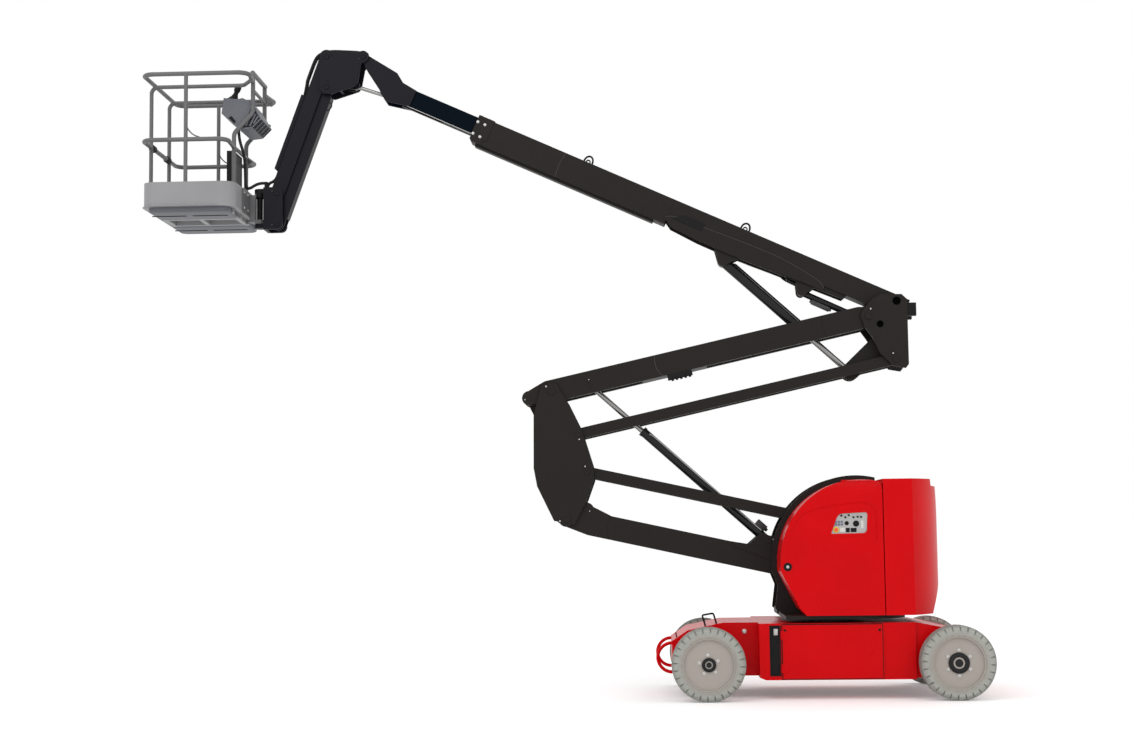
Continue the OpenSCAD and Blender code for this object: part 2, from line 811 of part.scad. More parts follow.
// Pads round the inner tube, from one height above its faces to another
module wear_pads(s0, s1, low, high) {
  pad_w = 40;
  pair() box(s0, s1, inner_hw + low, inner_hw + high, (inner_top + inner_bot) / 2 - pad_w,
    (inner_top + inner_bot) / 2 + pad_w);
  pair() {
    box(s0, s1, 14, 14 + pad_w, inner_top + low, inner_top + high);
    box(s0, s1, 14, 14 + pad_w, inner_bot - high, inner_bot - low);
  }
}

module lifting_eye(s) {
  eye_z = outer_top + 18;
  side(-6, 6) difference() {
    union() {
      disc([s, eye_z], 22);
      translate([s - 22, outer_top - 1]) square([44, eye_z - outer_top + 1]);
    }
    disc([s, eye_z], 11);
  }
}

module boom_outer() {
  color("#302c2a") place() in_boom() {
    difference() {
      union() {
        box(-110, outer_len, -outer_hw, outer_hw, outer_bot, outer_top);
        box(outer_len - 150, outer_len, -outer_hw - 8, outer_hw + 8, outer_bot - 8, outer_top + 8);
        pair() side(ear_in, ear_in + 18) {
          strap(ram_on_boom, 46, ram_on_boom + [0, 150], 140);
          strap(level_on_boom, 40, level_on_boom + [0, 120], 100);
          polygon([[400, outer_bot + 5], [420, -154], [1490, -190], [1660, outer_bot + 5]]);
        }
        box(channel_back, channel_front, -channel_hw, channel_hw, outer_bot - channel_h, outer_bot + 1);
      }
      box(-60, outer_len + 1, -outer_hw + boom_wall, outer_hw - boom_wall,
        outer_bot + boom_wall, outer_top - boom_wall);
      box(channel_back - 1, channel_front + 1, -channel_hw + boom_wall, channel_hw - boom_wall,
        outer_bot - channel_h + boom_wall, outer_bot - boom_wall);
      bar_y([0, 0], boom_pin_d + 2 * pin_gap, -200, 200);
    }
    wear_pads(outer_len - 150, outer_len - 20, seat_gap, pad_gap + 1);
    for (s = [1431, 2926])
      lifting_eye(s);
    bar_y(ram_on_boom, ram_pin_d, -ear_in - 1, ear_in + 1);
    bar_y(level_on_boom, level_pin_d, -ear_in - 1, ear_in + 1);
  }
}

module boom_inner() {
  nose = [boom_reach, head_rise];
  color("#10141c") place() in_boom() {
    difference() {
      union() {
        box(inner_back, inner_front, -inner_hw, inner_hw, inner_bot, inner_top);
        pair() side(nose_in, nose_out) {
          polygon([
            [nose_base, inner_bot], [nose_base + 213, -140], [nose_base + 271, -104],
            [nose_base + 314, -64], [boom_reach - 54, 60], nose, [boom_reach - 21, 172],
            [nose_base + 221, 128], [inner_front, 70], [nose_base, inner_top]
          ]);
          disc(nose, 52);
        }
      }
      box(inner_back - 1, inner_front + 1, -inner_hw + boom_wall, inner_hw - boom_wall,
        inner_bot + boom_wall, inner_top - boom_wall);
      box(slave_on_boom[0] + 100, inner_front + 1, -45, 45, inner_bot - 1, inner_bot + boom_wall + 1);
      bar_y(nose, pin_d + 2 * pin_gap, -200, 200);
    }
    wear_pads(inner_back, inner_back + 120, -1, pad_gap - seat_gap);
    bar_y(slave_on_boom, slave_pin_d, -inner_hw + boom_wall - 1, inner_hw - boom_wall + 1);
  }
}

module boom_ram_barrel() {
  color("black") place() ram_barrel(ram_base, ram_eye, 88, 960, ram_pin_d + 2 * pin_gap, 54);
}
module boom_ram_rod() {
  color("silver") place() ram_rod(ram_base, ram_eye, 54, 600, 90, ram_pin_d + eye_play);
}
module level_barrel() {
  color("black") place() ram_barrel(level_base, level_eye, 56, 440, level_pin_d + 2 * pin_gap, 34);
}
module level_rod() {
  color("silver") place() ram_rod(level_base, level_eye, 34, 300, 64, level_pin_d + eye_play);
}

// Jib head and jib

module jib_head() {
  color("#211f26") place() {
    pair() side(head_in, head_out) difference() {
      union() {
        polygon([for (p = [
          [20, 30], [-40, 45], [-120, 50], [-172, 58], [-280, 58], [-340, 45], [-385, 0], [-390, -280],
          [-360, -325], [-279, -330], [-200, -300], [-150, -200], [-60, -60]
        ]) j0 + p]);
        disc(j0, 52);
        disc(t1, 60);
        disc(t2, 60);
      }
    }
    bar_y(j0, pin_d, -head_in, head_in);
    bar_y(t1, jib_pin_d, -head_in, head_in);
    bar_y(t2, jib_pin_d, -head_in, head_in);
    box(j0[0] - 215, j0[0] - 195, -head_in, head_in, j0[1] - 290, j0[1] - 30);
    pair() side(eye_hw + 6, eye_hw + 24) strap(slave_eye, 40, j0 + [-205, -180], 70);
    pair() bar_y(slave_eye, slave_pin_d, eye_hw + seat_gap, eye_hw + 10);
  }
}

module slave_barrel() {
  color("black") place() ram_barrel(slave_base, slave_eye, 57, 600, slave_pin_d + 2 * pin_gap, 34);
}
module slave_rod() {
  color("silver") place() ram_rod(slave_base, slave_eye, 34, 400, 64, slave_pin_d + eye_play);
}

jib_hw = 66;

module in_jib(p) {
  translate([p[0], 0, p[1]]) rotate([0, jib_angle, 0]) mirror([1, 0, 0]) children();
}

module jib_upper() {
  color("#211f26") place() in_jib(t1) difference() {
    union() {
      pair() side(jib_hw, jib_hw + 14) strap([0, 0], 62, [jib_len, 0], 62);
      box(70, jib_len - 70, -jib_hw - 14, jib_hw + 14, 48, 62);
    }
    bar_y([0, 0], jib_pin_d + 2 * pin_gap, -200, 200);
    bar_y([jib_len, 0], jib_pin_d + 2 * pin_gap, -200, 200);
  }
}

module jib_lower() {
  color("#211f26") place() in_jib(t2) difference() {
    union() {
      pair() side(jib_hw - 20, jib_hw - 8) strap([0, 0], 56, [jib_len, 0], 56);
      box(70, jib_len - 70, -jib_hw + 8, jib_hw - 8, -62, -48);
    }
    bar_y([0, 0], jib_pin_d + 2 * pin_gap, -200, 200);
    bar_y([jib_len, 0], jib_pin_d + 2 * pin_gap, -200, 200);
  }
}

module jib_ram_barrel() {
  color("black") place() ram_barrel(t2, b1, 62, 760, jib_pin_d + 2 * pin_gap, 36);
}
module jib_ram_rod() {
  color("silver") place() ram_rod(t2, b1, 36, 500, 66, jib_pin_d + eye_play);
}

// Basket

module basket_bracket() {
  color("black") place() {
    pair() {
      side(jib_hw + 22, jib_hw + 38) {
        strap(b1, 52, b2, 52);
        polygon([b1 + [-120, 52], b1 + [0, 52], b2 + [0, -52], b2 + [-120, -52]]);
      }
      bar_y(b1, jib_pin_d, eye_hw + seat_gap, jib_hw + 22);
      bar_y(b2, jib_pin_d, jib_hw - 30, jib_hw + 22);
    }
    box(b1[0] - 120, b1[0] - 90, -jib_hw - 22, jib_hw + 22, b2[1] - 52, b1[1] + 52);
    for (z = [b2[1] - 30, b1[1] + 10])
      difference() {
        union() {
          translate([turn_x, 0, z]) cylinder(r = 45, h = 40);
          box(turn_x, b1[0] - 120, -45, 45, z, z + 40);
        }
        translate([turn_x, 0, z - 1]) cylinder(d = turn_pin_d + 2 * pin_gap, h = 42);
      }
  }
}

module basket_mount() {
  z0 = b2[1] + 12;
  z1 = b1[1] + 8;
  color("slategray") place() {
    translate([turn_x, 0, b2[1] - 30]) cylinder(d = turn_pin_d, h = b1[1] + 50 - b2[1] + 30);
    translate([turn_x, 0, z0]) cylinder(d = 80, h = z1 - z0);
    box(basket_rear + 6, turn_x, -40, 40, z0 + 10, z1 - 10);
    box(basket_rear - 6, basket_rear + 6, -300, 300, floor_z - 20, floor_z + toe_h);
  }
}

toe_t = 8;
toe_r = 110;
toe_x0 = basket_front + 22;
rail_bend = 95;
gate_y = 290;
gate_x = basket_front + rail_d / 2;
side_y = basket_w / 2 - rail_d / 2;
inner_z = rail_z - rail_d - bend_swell - seat_gap;
toe_top = floor_z + toe_h;
post_d = rail_d - 4;
leg_x = basket_rear - 90;
desk_x = basket_rear + 76;
leg_y = 235;

// Tray of the basket: a floor with toe boards, carried by tubes under it
module basket_floor() {
  hw = basket_w / 2;
  x1 = basket_rear - 6;
  floor_t = 12;
  tube = 40;
  tube_z = floor_z - floor_t - tube;
  flange = 12;
  color("gray") place() {
    translate([0, 0, floor_z - floor_t]) linear_extrude(floor_t) rounded(toe_x0, x1, -hw, hw, toe_r);
    translate([0, 0, floor_z - floor_t + 2]) linear_extrude(floor_t - 5)
      rounded(toe_x0 - flange, x1 - 60, -hw - flange, hw + flange, toe_r + flange);
    translate([0, 0, floor_z - 1]) linear_extrude(toe_h + 1) difference() {
      rounded(toe_x0, x1, -hw, hw, toe_r);
      rounded(toe_x0 + toe_t, x1 - toe_t, -hw + toe_t, hw - toe_t, toe_r - toe_t);
    }
    for (y = [-430, -150, 150, 430])
      box(toe_x0 + 60, x1 - 34, y - tube / 2, y + tube / 2, tube_z, floor_z - floor_t + 1);
    for (x = [toe_x0 + 90, (toe_x0 + x1) / 2, x1 - 74])
      box(x - tube / 2, x + tube / 2, -hw + 70, hw - 70, tube_z + 2, floor_z - floor_t + 1);
  }
}

// One side's rails: a top rail that starts at the middle of the front and a middle rail that
// starts at the gate post, both turning in to the console's leg, and one post
module rails_side() {
  post_x = gate_x + 380;
  leg_face = leg_y + rail_d / 2 + 1;
  pipe([[gate_x, 0, rail_z], [gate_x, side_y, rail_z], [desk_x + 40, side_y, rail_z],
    [desk_x, leg_face, rail_z]], rail_d, rail_bend);
  pipe([[gate_x, gate_y + post_d / 2 + seat_gap, mid_z], [gate_x, side_y, mid_z],
    [leg_x + 20, side_y, mid_z], [leg_x, leg_face, mid_z]], rail_d, rail_bend);
  rod([post_x, side_y, toe_top + seat_gap], [post_x, side_y, rail_z], post_d);
}
module rails_near() { color("gray") place() mirror([0, 1, 0]) rails_side(); }
module rails_far() { color("gray") place() rails_side(); }

// Gate posts, each bent back at its top into an inner hand rail
module rails_front() {
  color("gray") place() pair()
    pipe([[gate_x, gate_y, toe_top + seat_gap], [gate_x, gate_y, inner_z], [desk_x - 70, gate_y, inner_z],
      [desk_x + 20, side_y - 140, inner_z]], post_d, 60);
}

module entry_bar() {
  reach = gate_y - post_d / 2 - seat_gap;
  color("gray") place() rod([gate_x, -reach, mid_z], [gate_x, reach, mid_z], rail_d);
}

// Two cranked legs with three cross tubes, which carry the console
module console_frame() {
  top_z = rail_z + 80;
  color("gray") place() {
    pair() pipe([[leg_x, leg_y, floor_z + seat_gap], [leg_x, leg_y, floor_z + 690],
      [desk_x, leg_y, floor_z + 870], [desk_x, leg_y, top_z]], rail_d, 80);
    rod([desk_x, -leg_y - rail_d / 2, top_z], [desk_x, leg_y + rail_d / 2, top_z], rail_d + 4);
    rod([desk_x, -leg_y, floor_z + 1070], [desk_x, leg_y, floor_z + 1070], rail_d - 8);
    rod([leg_x, -leg_y, mid_z], [leg_x, leg_y, mid_z], rail_d - 4);
  }
}

// Control console, a wedge that hangs between the legs
module console() {
  hw = leg_y - (rail_d + bend_swell) / 2 - seat_gap;
  color("silver") place() side(-hw, hw) polygon([
    [leg_x - 98, floor_z + 1012], [leg_x + 20, floor_z + 999], [leg_x + 70, floor_z + 1008],
    [desk_x - 8, floor_z + 960], [desk_x + 70, floor_z + 820], [desk_x - 12, floor_z + 738],
    [leg_x + 52, floor_z + 726], [leg_x - 117, floor_z + 874]
  ]);
}

module document_box() {
  x = leg_x - rail_d / 2 - seat_gap;
  color("black") place() difference() {
    box(x - 62, x, -160, 160, floor_z + 234, floor_z + 554);
    box(x - 56, x - 6, -154, 154, floor_z + 240, floor_z + 560);
  }
}

chassis_frame();
front_axle();
rear_axle();
front_hoops();
battery_blocks();
battery_door_near();
battery_door_far();
slew_ring();
steer_knuckle_near();
steer_knuckle_far();
rim_front_near();
rim_front_far();
rim_rear_near();
rim_rear_far();
tyre_front_near();
tyre_front_far();
tyre_rear_near();
tyre_rear_far();
turret_frame();
counterweight();
hood_near();
hood_far();
control_panel();
power_units();
lower_arm();
lower_ties();
lower_knuckle();
sync_link();
upper_arm();
upper_ties();
upper_knuckle();
lift_barrel();
lift_rod();
boom_outer();
boom_inner();
boom_ram_barrel();
boom_ram_rod();
level_barrel();
level_rod();
jib_head();
slave_barrel();
slave_rod();
jib_upper();
jib_lower();
jib_ram_barrel();
jib_ram_rod();
basket_bracket();
basket_mount();
basket_floor();
rails_near();
rails_far();
rails_front();
entry_bar();
console_frame();
console();
document_box();
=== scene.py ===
import json
import math
import bpy
from mathutils import Matrix, Vector


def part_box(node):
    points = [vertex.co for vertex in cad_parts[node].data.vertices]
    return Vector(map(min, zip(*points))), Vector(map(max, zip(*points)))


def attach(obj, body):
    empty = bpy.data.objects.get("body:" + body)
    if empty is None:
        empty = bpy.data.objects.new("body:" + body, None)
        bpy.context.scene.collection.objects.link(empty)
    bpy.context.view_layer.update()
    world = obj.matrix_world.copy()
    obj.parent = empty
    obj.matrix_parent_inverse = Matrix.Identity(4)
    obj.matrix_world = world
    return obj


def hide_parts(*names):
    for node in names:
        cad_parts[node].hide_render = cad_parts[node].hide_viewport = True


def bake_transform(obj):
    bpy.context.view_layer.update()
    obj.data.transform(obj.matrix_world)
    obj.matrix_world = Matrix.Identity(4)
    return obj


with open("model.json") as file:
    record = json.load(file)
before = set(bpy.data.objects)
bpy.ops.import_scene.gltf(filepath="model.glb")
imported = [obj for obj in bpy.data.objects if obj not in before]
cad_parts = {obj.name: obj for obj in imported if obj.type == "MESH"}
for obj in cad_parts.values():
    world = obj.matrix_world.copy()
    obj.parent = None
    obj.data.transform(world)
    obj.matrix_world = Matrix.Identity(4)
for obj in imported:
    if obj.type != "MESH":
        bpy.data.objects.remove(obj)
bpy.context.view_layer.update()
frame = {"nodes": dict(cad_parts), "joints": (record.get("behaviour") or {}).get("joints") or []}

# Viewpoint. A long lens stands low in front of the machine's side, a little
# towards its wheels, and looks slightly up, as the photograph does.
photo_wide, focal_pixels, sensor_wide = 1134, 1785.62, 36
turn, lift, roll = math.radians(2.66), math.radians(94.91), math.radians(-0.67)
bpy.ops.object.select_all(action="DESELECT")
bpy.ops.object.camera_add(location=(0.7927, -15.4389, 1.3878))
viewpoint = bpy.context.object
viewpoint.rotation_euler = (
    Matrix.Rotation(turn, 3, "Z") @ Matrix.Rotation(lift, 3, "X") @ Matrix.Rotation(roll, 3, "Z")
).to_euler()
viewpoint.data.sensor_fit = "HORIZONTAL"
viewpoint.data.sensor_width = sensor_wide
viewpoint.data.lens = sensor_wide * focal_pixels / photo_wide
bpy.context.scene.camera = viewpoint
bpy.context.scene.view_settings.view_transform = "Standard"


# Studio. A wide pale floor runs out to a white surround, with one broad lamp
# above the camera's left and a weaker one on its right.
def wire(tree, node, sockets):
    """Gives each socket of a node its value, or a link from another node's output."""
    for label, value in sockets.items():
        if isinstance(value, bpy.types.NodeSocket):
            tree.links.new(value, node.inputs[label])
        else:
            node.inputs[label].default_value = value
    return node


def add_node(tree, kind, sockets, **settings):
    """A new shader node: its settings come first, because they choose its sockets."""
    node = tree.nodes.new("ShaderNode" + kind)
    for label, value in settings.items():
        setattr(node, label, value)
    return wire(tree, node, sockets)


def reckon(tree, operation, *values):
    """One sum on numbers or outputs."""
    return add_node(tree, "Math", dict(enumerate(values)), operation=operation).outputs[0]


def mixed(tree, share, first, second):
    """Two colours mixed by a share."""
    sockets = {"Factor": share, "A": first, "B": second}
    return add_node(tree, "Mix", sockets, data_type="RGBA").outputs["Result"]


def ranged(tree, value, start, end):
    """A value moved from one pair of ends to another."""
    sockets = {"Value": value, "From Min": start[0], "From Max": start[1], "To Min": end[0], "To Max": end[1]}
    return add_node(tree, "MapRange", sockets).outputs["Result"]


def new_finish(name):
    """An empty material, with its node tree and its surface shader."""
    made = bpy.data.materials.new(name)
    made.use_nodes = True
    return made, made.node_tree, made.node_tree.nodes["Principled BSDF"]


bpy.ops.mesh.primitive_plane_add(size=90, location=(0, 12, -0.0005))
floor = bpy.context.object
floor.name = "studio_floor"
floor_paint, tree, shader = new_finish("floor_paint")
place = add_node(tree, "TexCoord", {}).outputs["Object"]
cloud = add_node(tree, "TexNoise", {"Vector": place, "Scale": 0.6}).outputs["Fac"]
seen = add_node(tree, "LightPath", {}).outputs["Is Camera Ray"]
wire(tree, shader, {
    "Base Color": mixed(tree, cloud, (0.95, 0.95, 0.95, 1), (0.97, 0.97, 0.97, 1)),
    "Roughness": 0.9, "Specular IOR Level": 0.1,
    "Emission Color": (1, 1, 1, 1), "Emission Strength": reckon(tree, "MULTIPLY", seen, 0.18)})
floor.data.materials.append(floor_paint)

surround = bpy.data.worlds.new("white_surround")
surround.use_nodes = True
bpy.context.scene.world = surround
tree = surround.node_tree
rays = add_node(tree, "LightPath", {}).outputs
seen = reckon(tree, "MAXIMUM", rays["Is Camera Ray"], rays["Is Glossy Ray"])
seen = reckon(tree, "MAXIMUM", seen, rays["Is Transmission Ray"])
wire(tree, tree.nodes["Background"], {
    "Color": (1, 1, 1, 1), "Strength": ranged(tree, seen, (0, 1), (0.92, 1.0))})


def lamp(name, spot, aim, size, power):
    bpy.ops.object.light_add(type="AREA", location=spot)
    one = bpy.context.object
    one.name = name
    one.data.size = size
    one.data.energy = power
    one.rotation_euler = (Vector(aim) - Vector(spot)).to_track_quat("-Z", "Y").to_euler()


lamp("broad_lamp", (-4.5, -9.5, 10.5), (0.6, 0, 2.2), 7, 300)
lamp("side_lamp", (8.5, -8.0, 5.0), (1.0, 0, 1.6), 5, 90)

# Chassis. A welded steel box on two axles, sprayed in glossy red, with its
# battery doors, lashing hoops and hood panels in the same paint.
axle_to_slew = 1.0
wheel_low, wheel_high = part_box("tyre_front_near")
slew_x = (wheel_low[0] + wheel_high[0]) / 2 + axle_to_slew
both_sides = ((-1, "near"), (1, "far"))


def machine(x, y, z):
    """A point of the machine in millimetres, from under its slewing axis, as a place in the frame."""
    return Vector((slew_x + x / 1000, y / 1000, z / 1000))


# Sprayed film: slow shade changes, dust that settles on upward faces, a fine
# spray texture and a gloss that breaks where the dust lies.
sprayed_film = bpy.data.node_groups.new("sprayed_film", "ShaderNodeTree")
for label, kind, start in (("Colour", "Color", (0.5, 0.5, 0.5, 1)), ("Gloss", "Float", 0.3),
                           ("Dust", "Float", 0.2), ("Spray", "Float", 500.0)):
    socket = sprayed_film.interface.new_socket(label, in_out="INPUT", socket_type="NodeSocket" + kind)
    socket.default_value = start
for label, kind in (("Colour", "Color"), ("Roughness", "Float"), ("Height", "Float")):
    sprayed_film.interface.new_socket(label, in_out="OUTPUT", socket_type="NodeSocket" + kind)
tree = sprayed_film
given = tree.nodes.new("NodeGroupInput").outputs
place = add_node(tree, "TexCoord", {}).outputs
slow = add_node(tree, "TexNoise", {"Vector": place["Object"], "Scale": 2.3, "Detail": 5})
shade = ranged(tree, slow.outputs["Fac"], (0, 1), (0.86, 1.12))
shaded = add_node(tree, "VectorMath", {0: given["Colour"], "Scale": shade}, operation="SCALE")
facing_up = add_node(tree, "SeparateXYZ", {"Vector": place["Normal"]}).outputs["Z"]
upward = ranged(tree, facing_up, (0.2, 1.0), (0, 1))
speck = add_node(tree, "TexNoise", {"Vector": place["Object"], "Scale": 14, "Detail": 8, "Roughness": 0.65})
patch = ranged(tree, speck.outputs["Fac"], (0.35, 0.75), (0, 1))
lying = reckon(tree, "MULTIPLY_ADD", upward, 0.75, 0.12)
settled = reckon(tree, "MULTIPLY", lying, patch)
dusted = reckon(tree, "MULTIPLY", settled, given["Dust"])
gloss = reckon(tree, "MULTIPLY", given["Gloss"], shade)
fine = add_node(tree, "TexNoise", {"Vector": place["Object"], "Scale": given["Spray"], "Detail": 2})
dust_tone = (0.36, 0.33, 0.29, 1)
wire(tree, tree.nodes.new("NodeGroupOutput"), {
    "Colour": mixed(tree, dusted, shaded.outputs["Vector"], dust_tone),
    "Roughness": reckon(tree, "MULTIPLY_ADD", dusted, 0.6, gloss),
    "Height": fine.outputs["Fac"]})


def sprayed(name, colour, gloss, dust, spray, depth, coat=0.0, shine=0.5, metal=0.0):
    """A painted or moulded finish on the sprayed film."""
    made, tree, shader = new_finish(name)
    film = add_node(tree, "Group", {"Colour": (*colour, 1), "Gloss": gloss, "Dust": dust, "Spray": spray},
                    node_tree=sprayed_film).outputs
    relief = add_node(tree, "Bump", {"Strength": 0.35, "Distance": depth, "Height": film["Height"]})
    wire(tree, shader, {
        "Base Color": film["Colour"], "Roughness": film["Roughness"], "Normal": relief.outputs["Normal"],
        "Coat Weight": coat, "Coat Roughness": 0.08, "Specular IOR Level": shine, "Metallic": metal})
    return made


def coat_nodes(paint, *names):
    """Gives solids of the part their finish."""
    for name in names:
        held = frame["nodes"][name].data.materials
        held.clear()
        held.append(paint)


red = (0.60, 0.0006, 0.003)
red_paint = sprayed("red_paint", red, 0.28, 0.02, 700, 0.0004, shine=0.08)
coat_nodes(red_paint, "chassis_frame", "front_hoops", "battery_door_near", "battery_door_far",
           "hood_near", "hood_far")
black_trim = sprayed("black_trim", (0.006, 0.006, 0.0065), 0.5, 0.03, 900, 0.0006, shine=0.16)
zinc_bolt = sprayed("zinc_bolt", (0.55, 0.54, 0.52), 0.35, 0.2, 1500, 0.0002, metal=0.9)


# Hexagon bolts on washers, the fastener of every plate and pin keeper. One is
# modelled and copied to its places, in zinc-plated steel or the paint of its part.
def fresh():
    """Leaves edit mode with nothing selected."""
    if bpy.context.mode != "OBJECT":
        bpy.ops.object.mode_set(mode="OBJECT")
    bpy.ops.object.select_all(action="DESELECT")


def select_only(pieces):
    """Selects pieces and nothing else, the first of them active."""
    fresh()
    for piece in pieces:
        piece.select_set(True)
    bpy.context.view_layer.objects.active = pieces[0]


def set_place():
    """Puts the selected object's place, turn and size into its mesh."""
    bpy.ops.object.transform_apply(location=True, rotation=True, scale=True)


def roundel(radius, thick, corners, foot=0.0):
    """A plain round or many-sided blank that stands on a foot's height."""
    fresh()
    bpy.ops.mesh.primitive_cylinder_add(vertices=corners, radius=radius, depth=thick,
                                        location=(0, 0, foot + thick / 2))
    set_place()
    return bpy.context.object


def pick(kind, test):
    """Selects the faces or edges in edit mode whose middle and direction pass the test."""
    piece = bpy.context.object
    bpy.ops.object.mode_set(mode="EDIT")
    bpy.ops.mesh.select_mode(type=kind)
    bpy.ops.mesh.select_all(action="DESELECT")
    bpy.ops.object.mode_set(mode="OBJECT")
    mesh = piece.data
    if kind == "FACE":
        for face in mesh.polygons:
            face.select = test(face.center, face.normal)
    else:
        for edge in mesh.edges:
            a, b = (mesh.vertices[i].co for i in edge.vertices)
            edge.select = test((a + b) / 2, (b - a).normalized())
    bpy.ops.object.mode_set(mode="EDIT")


def pick_top():
    pick("FACE", lambda c, n: n.z > 0.9)


def push(x, y, z):
    bpy.ops.mesh.extrude_region_move(TRANSFORM_OT_translate={"value": (x, y, z)})


def step(narrow, x, y, z):
    """A square step: the picked face is inset and pushed on."""
    bpy.ops.mesh.inset(thickness=narrow)
    push(x, y, z)


def slope(narrow, x, y, z):
    """A sloping step: the picked face is inset and moved."""
    bpy.ops.mesh.inset(thickness=narrow)
    bpy.ops.transform.translate(value=(x, y, z))


def soften(offset, segments=2, affect="EDGES"):
    bpy.ops.mesh.bevel(offset=offset, segments=segments, affect=affect)


def soften_all(offset):
    bpy.ops.mesh.select_all(action="SELECT")
    soften(offset)


def join(pieces):
    """Makes several shapes one piece, the first of them."""
    select_only(pieces)
    if len(pieces) > 1:
        bpy.ops.object.join()
    return pieces[0]


def copy_of(model):
    select_only([model])
    bpy.ops.object.duplicate()
    return bpy.context.object


def stand(piece, spot, facing, size=1.0):
    """Puts a shape at a point, with its own upward direction turned to a facing direction."""
    piece.location = spot
    piece.rotation_euler = Vector(facing).to_track_quat("Z", "Y").to_euler()
    piece.scale = (size, size, size)
    return piece


def set_out(model, places):
    """Copies a finished shape to places, each a point, a facing direction and a size, as one piece."""
    made = []
    for point, facing, size in places:
        made.append(stand(copy_of(model), point, facing, size))
        set_place()
    return join(made)


def finish(piece, name, material, body):
    """Applies the piece's place, smooths it and fixes it to what carries it, when a carrier
    is given."""
    select_only([piece])
    set_place()
    bpy.ops.object.mode_set(mode="EDIT")
    bpy.ops.mesh.select_all(action="SELECT")
    bpy.ops.mesh.normals_make_consistent(inside=False)
    bpy.ops.object.mode_set(mode="OBJECT")
    bpy.ops.object.shade_smooth_by_angle(angle=math.radians(35))
    piece.name = name
    piece.data.name = name
    piece.data.materials.clear()
    piece.data.materials.append(material)
    if body:
        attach(piece, body)
    return piece


bolt = roundel(0.010, 0.007, 6, foot=0.003)
pick_top()
slope(0.0016, 0, 0, 0.0012)
washer = roundel(0.0145, 0.003, 18)
pick("EDGE", lambda c, d: c.z > 0.0029)
soften(0.0008)
join([bolt, washer])

spots = [(machine(-690, out * 430, 545), (0, out, 0), 1.3) for out, facing in both_sides]
finish(set_out(bolt, spots), "chassis_bolts", zinc_bolt, "chassis")
for out, facing in both_sides:
    spots = [(machine(x, out * 677, 560), (0, out, 0), 0.75) for x in (-371, 396)]
    finish(set_out(bolt, spots), "door_bolts_" + facing, black_trim, "door_" + facing)


# Door edge shade. A thin black frame runs round each battery door's frame as painted shade:
# it shows as a fine dark line at the door's edge.
def profile(y, points):
    """Points of the side view, all at one distance across the machine."""
    return [machine(x, y, z) for x, z in points]


def sheet(outline):
    """A flat face with the outline's points as its corners."""
    fresh()
    bpy.ops.mesh.primitive_circle_add(vertices=len(outline), radius=1, fill_type="NGON")
    one = bpy.context.object
    for vert, point in zip(one.data.vertices, outline):
        vert.co = point
    return one


def pick_all():
    pick("FACE", lambda c, n: True)


def hollow_frame(wide, y):
    """Leaves a flat face as a frame of a width, thickens it across and softens its edges."""
    pick_all()
    bpy.ops.mesh.inset(thickness=wide)
    bpy.ops.mesh.delete(type="FACE")
    pick_all()
    push(0, y, 0)
    soften_all(0.001)


for out, facing in both_sides:
    # Painted shade: a thin black frame stands for the shadow line at the door's edge.
    edge_shade = sheet(profile(out * 655.1, ((-398, 163), (-398, 612), (424, 612), (424, 163))))
    hollow_frame(0.014, out * 0.004)
    finish(edge_shade, "door_edge_shade_" + facing, black_trim, "chassis")


# Latch column. A black pressed strip fills the slot beside each battery door,
# with a toggle latch of bright steel near its top.
def block(size, spot=(0, 0, 0)):
    """A plain block, ready to be shaped in edit mode."""
    fresh()
    bpy.ops.mesh.primitive_cube_add(size=1, location=spot)
    one = bpy.context.object
    one.scale = size
    set_place()
    return one


for out, facing in both_sides:
    strip = block((0.092, 0.010, 0.410), machine(-451, out * 652, 396))
    pick("FACE", lambda c, n: n.y * out > 0.9)
    step(0.008, 0, -out * 0.006, 0)
    step(0.014, 0, out * 0.005, 0)
    finish(strip, "latch_column_" + facing, black_trim, "chassis")
    latch = block((0.034, 0.010, 0.052), machine(-446, out * 657, 548))
    pick("FACE", lambda c, n: n.y * out > 0.9)
    step(0.006, 0, out * 0.008, 0)
    soften_all(0.002)
    finish(latch, "latch_" + facing, zinc_bolt, "chassis")


# Deck handle. A bail of bent steel rod, painted black, is welded to the sloping
# deck beside the front wheel.
def tube(points, wide):
    """A round tube or hose along points, as a mesh."""
    fresh()
    bpy.ops.curve.primitive_nurbs_path_add(location=(0, 0, 0))
    run = bpy.context.object
    line = run.data.splines[0]
    if len(points) > len(line.points):
        line.points.add(len(points) - len(line.points))
    knots = list(points) + [points[-1]] * (len(line.points) - len(points))
    for knot, point in zip(line.points, knots):
        knot.co = (*point, 1)
    line.order_u = 3
    line.use_endpoint_u = True
    line.resolution_u = 6
    run.data.bevel_depth = wide / 2
    run.data.bevel_resolution = 3
    run.data.use_fill_caps = True
    bpy.ops.object.convert(target="MESH")
    return bpy.context.object


bail = tube(profile(-345, (
    (-1007, 578), (-1014, 604), (-1024, 640), (-1033, 666), (-1030, 678), (-1000, 682), (-962, 689),
    (-944, 690), (-938, 680), (-930, 652), (-921, 622), (-917, 600))), 0.016)
finish(bail, "deck_bail", black_trim, "chassis")

# Axles, knuckles and the slewing ring, which are steel castings in dark grey
# primer, and the batteries and power units in their plain dark cases.
axle_steel = sprayed("axle_steel", (0.035, 0.035, 0.036), 0.45, 0.4, 300, 0.0010, shine=0.4)
coat_nodes(axle_steel, "front_axle", "rear_axle", "steer_knuckle_near", "steer_knuckle_far", "slew_ring")
battery_case = sprayed("battery_case", (0.03, 0.03, 0.032), 0.55, 0.3, 250, 0.0012, shine=0.4)
coat_nodes(battery_case, "battery_blocks", "power_units")

